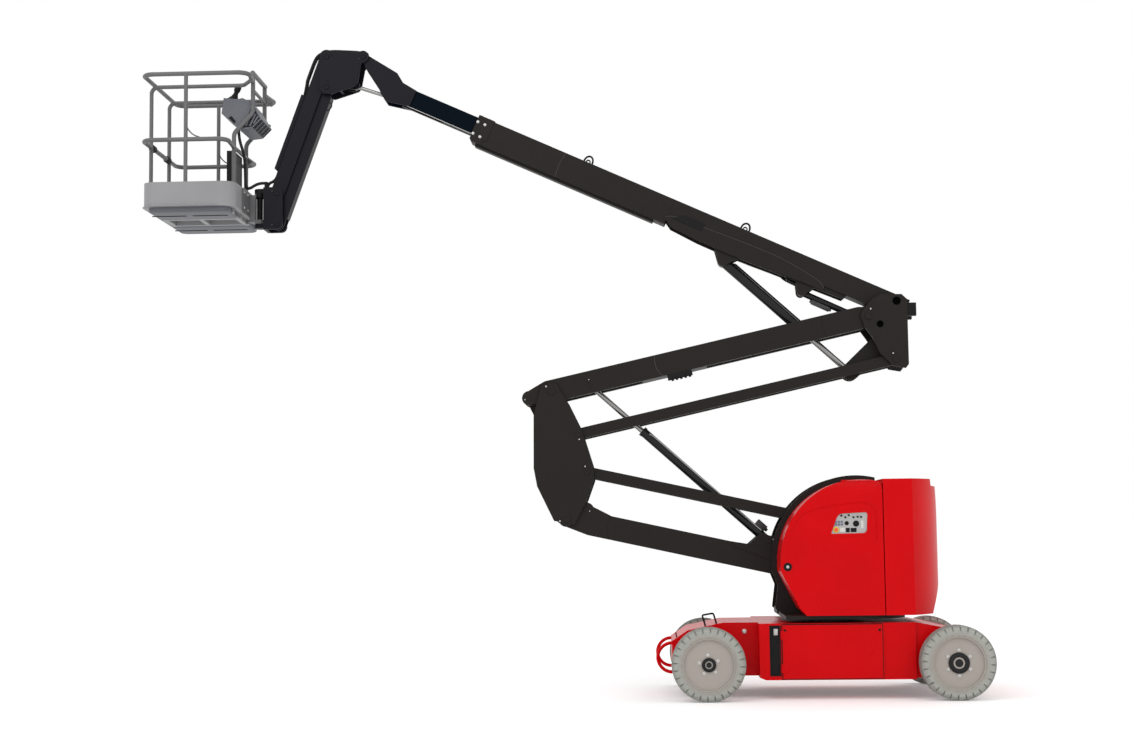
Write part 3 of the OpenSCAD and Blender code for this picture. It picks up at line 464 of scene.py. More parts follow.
# Wheels. Pressed steel rims in warm grey carry solid non-marking tyres of pale
# grey rubber. Each rim has its ring of wheel bolts and a black hub cap.
rim_paint = sprayed("rim_paint", (0.37, 0.335, 0.30), 0.42, 0.25, 600, 0.0005)
coat_nodes(rim_paint, "rim_front_near", "rim_front_far", "rim_rear_near", "rim_rear_far")


def rubber(name, middle):
    """Pale tyre rubber with mould rings round its own axle and dark road dirt at the tread."""
    made, tree, shader = new_finish(name)
    place = add_node(tree, "TexCoord", {}).outputs["Object"]
    centred = add_node(tree, "Mapping", {"Vector": place, "Location": tuple(-middle)})
    flat = add_node(tree, "VectorMath", {0: centred.outputs["Vector"], 1: (1, 0, 1)}, operation="MULTIPLY")
    reach = add_node(tree, "VectorMath", {0: flat.outputs["Vector"]}, operation="LENGTH").outputs["Value"]
    rings = reckon(tree, "SINE", reckon(tree, "MULTIPLY", reach, 700))
    dirt = add_node(tree, "TexNoise", {"Vector": place, "Scale": 22, "Detail": 8}).outputs["Fac"]
    worn = reckon(tree, "MULTIPLY", ranged(tree, reach, (0.275, 0.300), (0, 1)), dirt)
    tone = mixed(tree, dirt, (0.40, 0.41, 0.375, 1), (0.31, 0.315, 0.285, 1))
    relief = add_node(tree, "Bump", {"Strength": 0.4, "Distance": 0.0008, "Height": rings})
    wire(tree, shader, {
        "Base Color": mixed(tree, worn, tone, (0.13, 0.13, 0.12, 1)),
        "Roughness": ranged(tree, dirt, (0, 1), (0.68, 0.88)),
        "Normal": relief.outputs["Normal"], "Specular IOR Level": 0.3})
    return made


# Disc of a wheel: a rolled lip on the tyre's side and a shallow dish inside it.
fresh()
disc_r, disc_back, disc_front = 0.233, 0.055, 0.0976
bpy.ops.mesh.primitive_circle_add(vertices=72, radius=disc_r, fill_type="NGON", location=(0, 0, disc_back))
dish = bpy.context.object
set_place()
pick_all()
push(0, 0, disc_front - disc_back)
for narrow, rise in ((0.003, 0.0010), (0.006, -0.0006), (0.004, -0.0150), (0.010, -0.0110),
                     (0.040, -0.0030), (0.020, 0.0010)):
    slope(narrow, 0, 0, rise)
fresh()
bolt_zone = 0.16
dish_z = max(v.co.z for v in dish.data.vertices if v.co.xy.length < bolt_zone)
cap_deep, cap_seat = 0.042, 0.0405
cap_black = sprayed("cap_black", (0.010, 0.010, 0.011), 0.50, 0.08, 900, 0.0004, shine=0.25)
for axle, bolts, bolt_ring, first, cap_r in (("front", 5, 0.079, 96, 0.058), ("rear", 6, 0.1015, 90, 0.0845)):
    for out, facing in both_sides:
        wheel = axle + "_" + facing
        low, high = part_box("tyre_" + wheel)
        hub = Vector((low[i] + high[i]) / 2 for i in range(3))
        coat_nodes(rubber("tyre_rubber_" + wheel, hub), "tyre_" + wheel)
        ring = []
        for i in range(bolts):
            a = math.radians(first + i * 360 / bolts)
            spot = hub + Vector((bolt_ring * math.cos(a), out * dish_z, bolt_ring * math.sin(a)))
            ring.append((spot, (0, out, 0), 1.0))
        finish(set_out(bolt, ring), "wheel_bolts_" + wheel, zinc_bolt, "wheel_" + wheel)
        disc = set_out(dish, [(hub, (0, out, 0), 1.0)])
        finish(disc, "rim_disc_" + wheel, rim_paint, "wheel_" + wheel)
        cap = roundel(cap_r, cap_deep, 48)
        pick_top()
        for narrow, rise in ((0.16, 0.0022), (0.26, -0.006), (0.2, 0.005)):
            step(cap_r * narrow, 0, 0, rise)
        pick("EDGE", lambda c, d: c.z > 0.034 and abs(d.z) < 0.5)
        soften(0.0016)
        stand(cap, hub + Vector((0, out * cap_seat, 0)), (0, out, 0))
        finish(cap, "hub_cap_" + wheel, cap_black, "wheel_" + wheel)

# Turret. A dark welded frame turns on the ring, with glass-fibre hoods at its
# sides and a cast counterweight as its tail.
red_casting = sprayed("red_casting", red, 0.32, 0.02, 180, 0.0012, shine=0.08)
coat_nodes(red_casting, "counterweight")
black_paint = sprayed("black_paint", (0.015, 0.0125, 0.011), 0.46, 0.035, 420, 0.0008, shine=0.14)
coat_nodes(black_paint, "turret_frame", "lower_arm", "lower_ties", "lower_knuckle", "sync_link",
           "upper_arm", "upper_ties", "upper_knuckle", "boom_outer")

# Hood latches. A dished black plastic cup sits in the near and in the far hood,
# with a bright turn bolt at its bottom.
for out, facing in both_sides:
    spot = machine(-338, out * 690, 1077)
    cup = roundel(0.034, 0.004, 28)
    pick_top()
    step(0.004, 0, 0, -0.0032)
    stand(cup, spot, (0, out, 0))
    finish(cup, "hood_latch_cup_" + facing, black_trim, "hood_" + facing)
    turn_bolt = set_out(bolt, [(spot + Vector((0, -out * 0.001, 0)), (0, out, 0), 0.9)])
    finish(turn_bolt, "hood_latch_bolt_" + facing, zinc_bolt, "hood_" + facing)

# Ground controls. A grey moulded fascia in the near hood, with toggle switches,
# push buttons, a key switch, an emergency stop and blank label plates.
grey_plastic = sprayed("grey_plastic", (0.42, 0.41, 0.40), 0.5, 0.12, 800, 0.0006)
coat_nodes(grey_plastic, "control_panel")
fascia_wide, fascia_high, fascia_y = 0.305, 0.186, -684
fresh()
bpy.ops.mesh.primitive_plane_add(size=1, location=(0, 0, 0))
bezel = bpy.context.object
bezel.scale = (fascia_wide, fascia_high, 1)
set_place()
pick("EDGE", lambda c, d: c.y > fascia_high / 2 - 0.003)
bpy.ops.transform.translate(value=(0.018, 0, 0))
bpy.ops.transform.resize(value=(0.87, 1, 1), center_override=(0.04, fascia_high / 2, 0))
bpy.ops.mesh.select_all(action="SELECT")
soften(0.024, 5, "VERTICES")
pick_all()
push(0, 0, 0.005)
step(0.011, 0, 0, -0.0035)
bezel.rotation_euler = (math.radians(90), 0, 0)
bezel.location = machine(166, fascia_y + 1.5, 1430)
finish(bezel, "control_fascia", grey_plastic, "hood_near")

# Rim of the control opening. The hood's skin turns in round the fascia with
# rounded corners, in the same red, and a moulded crease frames it.
rim = sheet(profile(-689.6, ((66, 1528), (345, 1541), (331, 1324), (-14, 1319))))
bpy.ops.object.mode_set(mode="EDIT")
bpy.ops.mesh.select_mode(type="VERT")
bpy.ops.mesh.select_all(action="SELECT")
soften(0.048, 7, "VERTICES")
hollow_frame(0.023, -0.0032)
finish(rim, "panel_rim", red_paint, "hood_near")
crease = tube(profile(-689.5, (
    (-286, 1380), (-268, 1436), (-229, 1492), (-146, 1540), (1, 1571), (197, 1598), (330, 1596),
    (384, 1560), (391, 1480), (391, 1289))), 0.012)
finish(crease, "hood_crease", red_paint, "hood_near")


# Buttons and switches of the fascia. Turned plastic caps and rubber boots are
# pressed into its holes, and blank label plates are glued on.
def stud(name, spot, facing, body, radius, height, material, waist):
    """A turned button or switch boot: a collar, a waisted stem and a crowned top."""
    collar_high = 0.004
    one = roundel(radius, collar_high, 28)
    pick_top()
    step(radius * (1 - waist), 0, 0, height)
    slope(radius * 0.12, 0, 0, height * 0.18)
    return finish(stand(one, spot, facing), name, material, body)


def knob(name, x, z, radius, height, material, waist):
    stud(name, machine(x, fascia_y, z), (0, -1, 0), "hood_near", radius, height, material, waist)


stop_red = sprayed("stop_red", (0.80, 0.06, 0.02), 0.3, 0.05, 900, 0.0002, coat=0.4)
stop_yellow = sprayed("stop_yellow", (0.75, 0.50, 0.03), 0.4, 0.05, 900, 0.0002)
button_blue = sprayed("button_blue", (0.10, 0.12, 0.22), 0.4, 0.05, 900, 0.0002)
plate_pale = sprayed("plate_pale", (0.62, 0.61, 0.58), 0.5, 0.05, 900, 0.0002)
knob("stop_collar", 62, 1376, 0.024, 0.003, stop_yellow, 0.9)
knob("stop_button", 62, 1376, 0.018, 0.012, stop_red, 0.8)
knob("key_switch", 226, 1424, 0.025, 0.010, black_trim, 0.62)
knob("hour_window", 150, 1428, 0.017, 0.002, black_trim, 0.85)
for i, (x, z) in enumerate(((108, 1490), (140, 1477), (168, 1493), (206, 1476), (240, 1480), (268, 1478))):
    knob("toggle_boot_%d" % i, x, z, 0.0085, 0.010, black_trim, 0.5)
for i in range(6):
    x, z = 62 + 24 * (i % 3), 1440 - 22 * (i // 3)
    knob("push_button_%d" % i, x, z, 0.0085, 0.004, button_blue, 0.8)
for i, (x, z, wide, high, tone) in enumerate((
        (114, 1375, 0.040, 0.034, plate_pale), (158, 1372, 0.032, 0.036, black_trim),
        (205, 1372, 0.048, 0.034, black_trim), (276, 1418, 0.018, 0.060, plate_pale))):
    blank = block((wide, 0.0012, high), machine(x, fascia_y - 0.6, z))
    pick("FACE", lambda c, n: n.y < -0.9)
    step(0.003, 0, 0.0005, 0)
    finish(blank, "blank_plate_%d" % i, tone, "hood_near")

# Pivots of the arms. Each pin shows a turned head on its plate, locked by a
# welded keeper with one bright bolt.
pins = {j["name"]: Vector(j["pos_m"]) for j in frame["joints"] if "pos_m" in j}
arm = pins["lower_knuckle"] - pins["arm_lift"]
lean = math.atan2(arm.z, -arm.x)
upper_way = Vector((math.cos(lean), 0, math.sin(lean)))
upper_over = Vector((-math.sin(lean), 0, math.cos(lean)))
knuckle_side, arm_side = 0.183, 0.155
pin_head = roundel(0.040, 0.005, 36)
pick_top()
step(0.008, 0, 0, 0.003)
step(0.010, 0, 0, -0.0025)
pick("EDGE", lambda c, d: c.z > 0.0045 and abs(d.z) < 0.5)
soften(0.0007)


def pick_along(axis):
    """Selects the edges that run along one axis, 0 to 2."""
    pick("EDGE", lambda c, d: abs(d[axis]) > 0.9)


keeper_reach, keeper_thick, keeper_bolt = 0.055, 0.004, 0.062
keeper = block((0.050, 0.030, keeper_thick), (keeper_reach, 0, keeper_thick / 2))
pick_along(2)
soften(0.009, 3)


def on_upper(s, n, y):
    """A point along, above and across the upper arm, from its lower pin."""
    return pins["upper_arm"] + upper_way * s + upper_over * n + Vector((0, y, 0))


def pin_set(name, body, spots, paint=black_paint, bolt_paint=zinc_bolt):
    """Heads and keepers with their bolts on both sides of a body: each spot is a point, a half
    width, a size and the direction of its keeper in degrees."""
    heads, keepers, bolts = [], [], []
    for point, half, size, way in spots:
        for out, facing in both_sides:
            spot = Vector((point.x, out * half, point.z))
            heads.append((spot, (0, out, 0), size))
            one = copy_of(keeper)
            flip = Matrix.Rotation(math.radians(-90 * out), 4, "X")
            swing = Matrix.Rotation(math.radians(-way), 4, "Y")
            one.matrix_world = Matrix.Translation(spot) @ swing @ flip @ Matrix.Scale(size, 4)
            set_place()
            keepers.append(one)
            off = Vector((math.cos(math.radians(way)), 0, math.sin(math.radians(way))))
            bolts.append((spot + off * keeper_bolt * size, (0, out, 0), 0.85 * size))
    finish(set_out(pin_head, heads), name + "_heads", paint, body)
    finish(join(keepers), name + "_keepers", paint, body)
    finish(set_out(bolt, bolts), name + "_bolts", bolt_paint, body)


low_tie_end = pins["lower_knuckle"] + pins["lower_ties"] - pins["arm_lift"]
up_tie_end = pins["upper_knuckle"] + pins["upper_ties"] - pins["upper_arm"]
pin_set("lower_knuckle_pins", "lower_knuckle", [
    (pins["lower_knuckle"], knuckle_side, 0.95, 200), (pins["upper_arm"], knuckle_side, 0.95, 140),
    (low_tie_end, knuckle_side, 0.8, 110), (pins["upper_ties"], knuckle_side, 0.8, 285)])
pin_set("upper_knuckle_pins", "upper_knuckle", [
    (pins["upper_knuckle"], knuckle_side, 0.95, 75), (up_tie_end, knuckle_side, 0.85, 120)])
lift_eye_pin, sync_eye_pin = on_upper(0.333, -0.017, 0), on_upper(-0.201, -0.015, 0)
pin_set("upper_arm_pins", "upper_arm", [
    (lift_eye_pin, arm_side, 0.62, 100), (sync_eye_pin, arm_side, 0.62, 200)])
pin_set("lower_arm_pins", "lower_arm", [
    (pins["sync_link"], arm_side, 0.6, 330), (pins["lift_barrel"], arm_side, 0.62, 20)])

# Blind pins of the upper knuckle. The boom's pivot and the levelling pin sit sunk in their
# plates; a near-black dished disc over each is painted shade for the dark inside its bore.
# Near-black, without shine: painted shade inside the pins' bores.
bore_shade_black = sprayed("bore_shade_black", (0.0008, 0.0008, 0.0008), 0.8, 0.0, 700, 0.0006, shine=0.02)
bore_shade_disc = roundel(0.024, 0.003, 28)
pick_top()
step(0.004, 0, 0, -0.0024)
level_pin = pins["upper_knuckle"] + Vector((0.093, 0, -0.074))
bore_shade_spots = []
for spot, size in ((pins["boom_lift"], 1.45), (level_pin, 1.2)):
    for out, facing in both_sides:
        bore_shade_spots.append((Vector((spot.x, out * knuckle_side, spot.z)), (0, out, 0), size))
finish(set_out(bore_shade_disc, bore_shade_spots), "knuckle_bore_shades", bore_shade_black, "upper_knuckle")

# Back boxes of the upper knuckle. A folded steel box on each plate's rear edge
# covers the hose joints and leaves the boom's path between them free.
for out, facing in both_sides:
    back_box = block((0.078, 0.060, 0.112), pins["upper_knuckle"] + Vector((0.366, out * 0.136, 0.052)))
    pick("FACE", lambda c, n: n.x > 0.9)
    step(0.010, -0.006, 0, 0)
    pick_along(0)
    soften(0.006, 3)
    finish(back_box, "knuckle_back_box_" + facing, black_trim, "upper_knuckle")

# Weld seams and doubler plates of the arms. The box sections are sleeved and
# welded, and the lower arm has a wedge of plate where the cylinder stands.
lower_way = Vector((math.cos(lean), 0, -math.sin(lean)))
lower_over = Vector((math.sin(lean), 0, math.cos(lean)))
seam_wide = 0.0055
weld_grey = sprayed("weld_grey", (0.055, 0.050, 0.048), 0.5, 0.05, 300, 0.0012, shine=0.3)


def on_lower(s, n, y):
    """A point along, above and across the lower arm, from its upper pin."""
    return pins["lower_knuckle"] + lower_way * s + lower_over * n + Vector((0, y, 0))


def plate(name, outline, way, thick, material, body):
    """A flat plate on the machine's side: the outline's points extruded across it."""
    one = sheet(outline)
    pick_all()
    push(0, way * thick, 0)
    slope(thick * 0.4, 0, way * thick * 0.3, 0)
    return finish(one, name, material, body)


for out, facing in both_sides:
    y = out * arm_side
    for name, on_arm, route, tone, body in (
            ("upper_sleeve_weld_", on_upper, ((0.930, 0.094), (0.921, 0.05), (0.920, -0.01), (0.934, -0.06),
                                              (0.960, -0.094)), weld_grey, "upper_arm"),
            ("upper_end_weld_", on_upper, ((2.405, 0.094), (2.388, 0.04), (2.386, -0.03), (2.400, -0.094)),
             black_paint, "upper_arm"),
            ("lower_sleeve_weld_", on_lower, ((0.372, 0.098), (0.356, 0.05), (0.354, -0.01), (0.366, -0.06),
                                              (0.392, -0.098)), black_paint, "lower_arm")):
        seam = tube([on_arm(s, n, y) for s, n in route], seam_wide)
        finish(seam, name + facing, tone, body)
    wedge = [on_lower(s, n, y) for s, n in ((1.41, 0.098), (1.46, 0.060), (2.05, -0.030), (2.36, -0.040),
                                            (2.36, 0.098))]
    plate("lower_doubler_" + facing, wedge, out, 0.006, black_paint, "lower_arm")


# Hose strip under the upper arm. A steel clamp bar is bolted on with five studs
# and holds the hoses against the box.
def lie_along(piece, way, spot):
    """Turns a shape's length along a direction of the side view and puts it at a point."""
    piece.rotation_euler = (0, math.atan2(-way.z, way.x), 0)
    piece.location = spot


clamp = block((0.215, 0.07, 0.046))
pick_along(0)
soften(0.005)
studs = set_out(bolt, [((-0.07 + 0.038 * i, -0.02, -0.023), (0, 0, -1), 1.2) for i in range(5)])
join([clamp, studs])
lie_along(clamp, upper_way, on_upper(1.105, -0.120, -0.125))
finish(clamp, "upper_arm_hose_clamp", black_trim, "upper_arm")

# Cylinders. Their barrels are drawn steel tube in gloss black, and their rods are
# ground steel with hard chrome.
ram_paint = sprayed("ram_paint", (0.006, 0.0055, 0.0055), 0.24, 0.02, 700, 0.0003, shine=0.3)
coat_nodes(ram_paint, "lift_barrel", "boom_ram_barrel", "level_barrel", "slave_barrel", "jib_ram_barrel")
rod_chrome = sprayed("rod_chrome", (0.30, 0.295, 0.29), 0.18, 0.05, 1500, 0.0001, metal=1.0)
coat_nodes(rod_chrome, "lift_rod", "boom_ram_rod", "level_rod", "slave_rod", "jib_ram_rod")

# Pipes of the lift and boom cylinders. Two hard pipes lie along each barrel, one
# plated and one black, from its foot to the gland.
slide_axis = {j["name"]: Vector(j["axis"]) for j in frame["joints"] if j["type"] == "slide"}
pipe_wide = 0.013
hard_pipe = sprayed("hard_pipe", (0.30, 0.30, 0.30), 0.3, 0.05, 900, 0.0002, metal=0.8)


def upward_of(way):
    """The direction square to a cylinder that points up."""
    over = Vector((-way.z, 0, way.x))
    return over if over.z > 0 else -over


def ram_pipes(name, barrel, rod, apart, plated, route):
    way, over = slide_axis[rod], upward_of(slide_axis[rod])
    for i, y in enumerate((-apart, apart)):
        run = [pins[barrel] + way * s + over * n + Vector((0, y, 0)) for s, n in route]
        tone = hard_pipe if i == plated else black_trim
        finish(tube(run, pipe_wide), "%s_%d" % (name, i), tone, barrel)


ram_pipes("lift_pipe", "lift_barrel", "lift_rod", 0.036, 0, (
    (0.10, 0.030), (0.16, 0.029), (0.40, 0.028), (0.90, 0.028), (1.30, 0.028), (1.345, 0.027),
    (1.365, 0.018)))
ram_pipes("boom_ram_pipe", "boom_ram_barrel", "boom_ram_rod", 0.022, 1, (
    (0.075, 0.030), (0.09, 0.050), (0.12, 0.051), (0.40, 0.050), (0.70, 0.050), (0.88, 0.050), (0.92, 0.046),
    (0.93, 0.030)))

# Valve blocks. A drilled steel block with two ports is bolted on the lift
# cylinder's foot, and a longer one with its check valve on the levelling cylinder.
way = slide_axis["lift_rod"]
valve = block((0.10, 0.07, 0.055))
pick_top()
step(0.014, 0, 0, 0.014)
pick("FACE", lambda c, n: n.x < -0.9)
step(0.014, -0.018, 0, 0)
soften_all(0.003)
lie_along(valve, way, pins["lift_barrel"] + way * 0.13 + upward_of(way) * 0.062)
finish(valve, "lift_valve", axle_steel, "lift_barrel")


def pick_ends():
    pick("FACE", lambda c, n: abs(n.x) > 0.9)


def draw_ends(length):
    """Draws the picked end faces out, or in with a length below zero."""
    bpy.ops.mesh.extrude_faces_move(TRANSFORM_OT_shrink_fatten={"value": length})


way = slide_axis["level_rod"]
check = block((0.17, 0.052, 0.034))
pick_ends()
bpy.ops.mesh.inset(thickness=0.008)
draw_ends(0.016)
soften_all(0.0025)
lie_along(check, way, pins["level_barrel"] + way * 0.20 - upward_of(way) * 0.040)
finish(check, "level_valve", axle_steel, "level_barrel")

# Boom. A dark outer box carries a bolted collar of wear pads at its mouth, and a
# blue-black inner box slides out of it, with a bright zinc strip along each lower edge.
navy_paint = sprayed("navy_paint", (0.0012, 0.0042, 0.0085), 0.40, 0.01, 420, 0.0006, shine=0.03)
coat_nodes(navy_paint, "boom_inner")
along = slide_axis["telescope"]
across = Vector((along.z, 0, -along.x))


def on_boom(s, n, y):
    """A point along, above and across the boom, from its pivot."""
    return pins["boom_lift"] + along * s + across * n + Vector((0, y, 0))


def boom_line(y, points):
    return [on_boom(s, n, y) for s, n in points]


spots = []
for out, facing in both_sides:
    for point in boom_line(out * 0.096, ((3.947, 0.011), (3.880, 0.011), (3.945, -0.100), (3.877, -0.104))):
        spots.append((point, (0, out, 0), 0.9))
    for s in (3.865, 3.940):
        spots.append((on_boom(s, 0.074, out * 0.045), across, 0.9))
        spots.append((on_boom(s, -0.123, out * 0.045), -across, 0.9))
finish(set_out(bolt, spots), "collar_bolts", zinc_bolt, "boom_outer")
bail_half = ((0.040, 0.058), (0.039, 0.085), (0.033, 0.116), (0.013, 0.136))
for i, s in enumerate((1.431, 2.926)):
    arch = [(s - a, n) for a, n in bail_half] + [(s + a, n) for a, n in reversed(bail_half)]
    finish(tube(boom_line(0, arch), 0.017), "boom_bail_%d" % i, black_trim, "boom_outer")
belly_top = ((2.10, -0.104), (2.06, -0.064), (1.76, -0.060), (1.50, -0.046), (1.26, -0.039), (1.01, -0.039),
             (0.74, -0.077), (0.63, -0.101), (0.605, -0.135))
belly_low = ((0.605, -0.157), (0.79, -0.160), (0.99, -0.169), (1.26, -0.182), (1.49, -0.190), (1.77, -0.187),
             (2.03, -0.168), (2.10, -0.125))
for out, facing in both_sides:
    belly = boom_line(out * 0.088, belly_top + belly_low)
    plate("boom_doubler_" + facing, belly, out, 0.004, black_paint, "boom_outer")
    bead = tube(boom_line(out * 0.0915, belly_top), 0.005)
    finish(bead, "boom_doubler_weld_" + facing, weld_grey, "boom_outer")
    cover = boom_line(out * 0.0925, ((1.766, -0.096), (1.766, -0.030), (1.96, -0.030), (2.04, -0.096)))
    plate("boom_cover_" + facing, cover, out, 0.004, black_trim, "boom_outer")
    edge_strip = block((3.54, 0.013, 0.004))
    pick_along(0)
    soften(0.001)
    lie_along(edge_strip, -along, on_boom(2.88, -0.1021, out * 0.0645))
    finish(edge_strip, "boom_edge_strip_" + facing, zinc_bolt, "boom_inner")

# Side sheets of the outer box. Welded plates deepen its front half, with a keel
# plate between them and one upright seam on each side.
sheet_back, sheet_front, sheet_low = 2.09, 3.846, -0.166
for out, facing in both_sides:
    side = boom_line(out * 0.0878, (
        (sheet_back, 0.062), (sheet_front, 0.062), (sheet_front, sheet_low), (sheet_back, sheet_low)))
    plate("boom_side_sheet_" + facing, side, out, 0.0024, black_paint, "boom_outer")
    seam = tube(boom_line(out * 0.0906, ((3.13, 0.058), (3.14, 0.0), (3.14, -0.08), (3.13, -0.163))), 0.004)
    finish(seam, "boom_side_seam_" + facing, weld_grey, "boom_outer")
    skirt = boom_line(out * 0.0885, (
        (3.840, -0.118), (3.958, -0.118), (3.958, -0.150), (3.940, sheet_low), (3.840, sheet_low)))
    plate("boom_collar_skirt_" + facing, skirt, out, 0.006, black_paint, "boom_outer")
keel = block((1.85, 0.1764, 0.006))
pick("FACE", lambda c, n: n.x < -0.9)
push(0, 0, 0.034)
pick("EDGE", lambda c, d: abs(d.x) > 0.9 and c.z < 0)
soften(0.002)
lie_along(keel, -along, on_boom(3.016, -0.163, 0))
finish(keel, "boom_keel", black_paint, "boom_outer")

# Cable tray. A folded sheet trough under the keel carries the hoses to the
# telescope, open at both ends.
trough = block((1.70, 0.100, 0.024))
pick_ends()
bpy.ops.mesh.inset(thickness=0.004)
draw_ends(-0.050)
pick("EDGE", lambda c, d: abs(d.x) > 0.9 and c.z < -0.011)
soften(0.006, 3)
lie_along(trough, -along, on_boom(3.045, -0.177, 0))
finish(trough, "boom_cable_tray", black_paint, "boom_outer")

# Levelling hoses. Two rubber hoses hang from the boom's underside to the foot of
# the levelling cylinder.
hose_rubber = sprayed("hose_rubber", (0.010, 0.010, 0.011), 0.55, 0.06, 1200, 0.0005, shine=0.25)
for i, y in enumerate((-0.030, 0.030)):
    run = boom_line(y, (
        (0.98 + 0.05 * i, -0.112), (0.97 + 0.05 * i, -0.15), (0.92 + 0.04 * i, -0.185),
        (0.84 + 0.03 * i, -0.190), (0.775, -0.190), (0.765, -0.200)))
    finish(tube(run, 0.016), "level_hose_%d" % i, hose_rubber, "boom_outer")

# Jib. Two parallel links between pressed side plates, in blue-black paint, on
# pins with turned heads.
jib_paint = sprayed("jib_paint", (0.0075, 0.0068, 0.0105), 0.42, 0.02, 420, 0.0007, shine=0.12)
coat_nodes(jib_paint, "jib_head", "jib_upper", "jib_lower", "basket_bracket")
jib_way = (pins["bracket"] - pins["jib_lower"]).normalized()
jib_out = Vector((jib_way.z, 0, -jib_way.x))
upper_foot = pins["jib_lift"] + pins["bracket"] - pins["jib_lower"]
nose = pins["jib_head"]
head_side, bracket_side = 0.1135, 0.104


def on_jib(s, n, y):
    """A point along, outside and across the jib, from its upper pin."""
    return pins["jib_lift"] + jib_way * s + jib_out * n + Vector((0, y, 0))


def from_nose(y, points):
    """Points of the side view in millimetres from the boom's nose pin, at one distance across."""
    return [nose + Vector((x / 1000, y, z / 1000)) for x, z in points]


for out, facing in both_sides:
    nose_side = boom_line(out * 0.0868, (
        (4.560, -0.100), (4.773, -0.140), (4.831, -0.104), (4.874, -0.064), (5.065, 0.060), (5.119, 0.140),
        (5.098, 0.172), (4.781, 0.128), (4.700, 0.070), (4.560, 0.051)))
    plate("nose_side_" + facing, nose_side, out, 0.0022, jib_paint, "boom_inner")
    cheek = from_nose(out * 0.1015, (
        (20, 30), (-40, 45), (-120, 48), (-172, 46), (-280, 38), (-335, 18), (-382, -25), (-390, -280),
        (-360, -325), (-279, -330), (-70, -265), (-45, -235), (-15, -75), (15, -25)))
    plate("head_cheek_" + facing, cheek, out, 0.0095, jib_paint, "jib_head")
pin_set("jib_nose_pin", "jib_head", [(nose, head_side, 0.66, 215)], jib_paint, axle_steel)
pin_set("jib_link_pins", "jib_head", [
    (pins["jib_lift"], head_side, 0.72, 20), (pins["jib_lower"], head_side, 0.72, 75)], jib_paint, jib_paint)
pin_set("jib_foot_pins", "bracket", [
    (upper_foot, bracket_side, 0.72, 160), (pins["bracket"], bracket_side, 0.72, 200)], jib_paint, axle_steel)

# Hoses over the jib's head. A bundle of three comes out of the boom, arches over
# the head's top and down in front of it, and is clamped on the jib's back.
for i, y in enumerate((-0.0235, 0.0, 0.0235)):
    run = from_nose(y, (
        (30, 44), (-40, 62), (-110, 68), (-190, 73), (-260, 78), (-325, 76), (-380, 62), (-422, 34),
        (-448, -12), (-470, -70), (-492, -130), (-512, -185)))
    run += [on_jib(s, n, y) for s, n in ((0.275, 0.103), (0.330, 0.094), (0.400, 0.084), (0.450, 0.080))]
    hose = finish(tube(run, 0.0225), "jib_hose_%d" % i, hose_rubber, None)
    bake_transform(hose)

# Hose cover. A folded sheet channel on the jib's back takes the three hoses in at
# its open top end and leads them down to the bracket.
channel = block((0.70, 0.156, 0.040))
pick_ends()
bpy.ops.mesh.inset(thickness=0.004)
bpy.ops.mesh.inset(depth=-0.060, thickness=0.0)
pick("EDGE", lambda c, d: abs(d.x) > 0.9 and c.z > 0.019)
soften(0.010, 4)
lie_along(channel, jib_way, on_jib(0.735, 0.082, 0))
finish(channel, "jib_hose_cover", jib_paint, "jib_upper")
loop = profile(-30, ((-4276, 5212), (-4240, 5200), (-4214, 5180), (-4210, 5158), (-4226, 5130),
                     (-4262, 5112), (-4300, 5104)))
finish(tube(loop, 0.010), "jib_loop_hose", hose_rubber, "jib_lower")

# Basket. Rails of welded steel tube stand on a pressed sheet floor, in two greys of
# paint, and a black plastic box for papers hangs on the console's legs.
basket_paint = sprayed("basket_paint", (0.125, 0.125, 0.130), 0.42, 0.15, 500, 0.0006, shine=0.4)
coat_nodes(basket_paint, "basket_mount", "rails_near", "rails_far", "rails_front", "entry_bar",
           "console_frame")
tray_paint = sprayed("tray_paint", (0.27, 0.27, 0.278), 0.45, 0.15, 500, 0.0006, shine=0.4)
coat_nodes(tray_paint, "basket_floor")
coat_nodes(black_trim, "document_box")

# Floor pans. Pressed sheet closes the floor's frame from below on both sides, with rounded
# edges and two long drain slots in each, their openings shown as near-black strips of painted shade.
pan_paint = sprayed("pan_paint", (0.115, 0.120, 0.135), 0.5, 0.05, 500, 0.0006, shine=0.3)
# Painted shade: near-black for the dark seen through the drain slots.
slot_shade_dark = sprayed("slot_shade_dark", (0.006, 0.006, 0.007), 0.6, 0.02, 700, 0.0006, shine=0.05)
tray_low, tray_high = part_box("basket_floor")
tray_x, tray_long = (tray_low[0] + tray_high[0]) / 2, tray_high[0] - tray_low[0]
outer, inner = tray_high[1] - 0.040, 0.185
for out, facing in both_sides:
    pan = block((tray_long - 0.105, outer - inner, 0.046),
                (tray_x + 0.006, out * (outer + inner) / 2, machine(0, 0, 4162).z))
    pick_along(2)
    soften(0.070, 6)
    low = min(v.co.z for v in pan.data.vertices)
    pick("EDGE", lambda c, d: c.z < low + 0.001)
    soften(0.018, 4)
    finish(pan, "tray_pan_" + facing, pan_paint, "basket")
    for i, (x0, x1) in enumerate(((-5715, -5412), (-5361, -5050))):
        # Each slot's opening is a near-black strip of painted shade.
        drain = block(((x1 - x0) / 1000, 0.034, 0.003), machine((x0 + x1) / 2, out * 370, 4139.2))
        pick_along(2)
        soften(0.015, 5)
        pick("FACE", lambda c, n: n.z < -0.9)
        step(0.003, 0, 0, 0.001)
        finish(drain, "tray_slot_shade_%s_%d" % (facing, i), slot_shade_dark, "basket")

# Tread mat. A black rubber mat with a raised field lies loose on the floor between
# the toe boards.
mat = block((tray_long - 0.16, 1.06, 0.005), (tray_x + 0.004, 0, machine(0, 0, 4198).z))
pick_along(2)
soften(0.05, 5)
pick_top()
step(0.012, 0, 0, 0.002)
finish(mat, "floor_mat", hose_rubber, "basket")

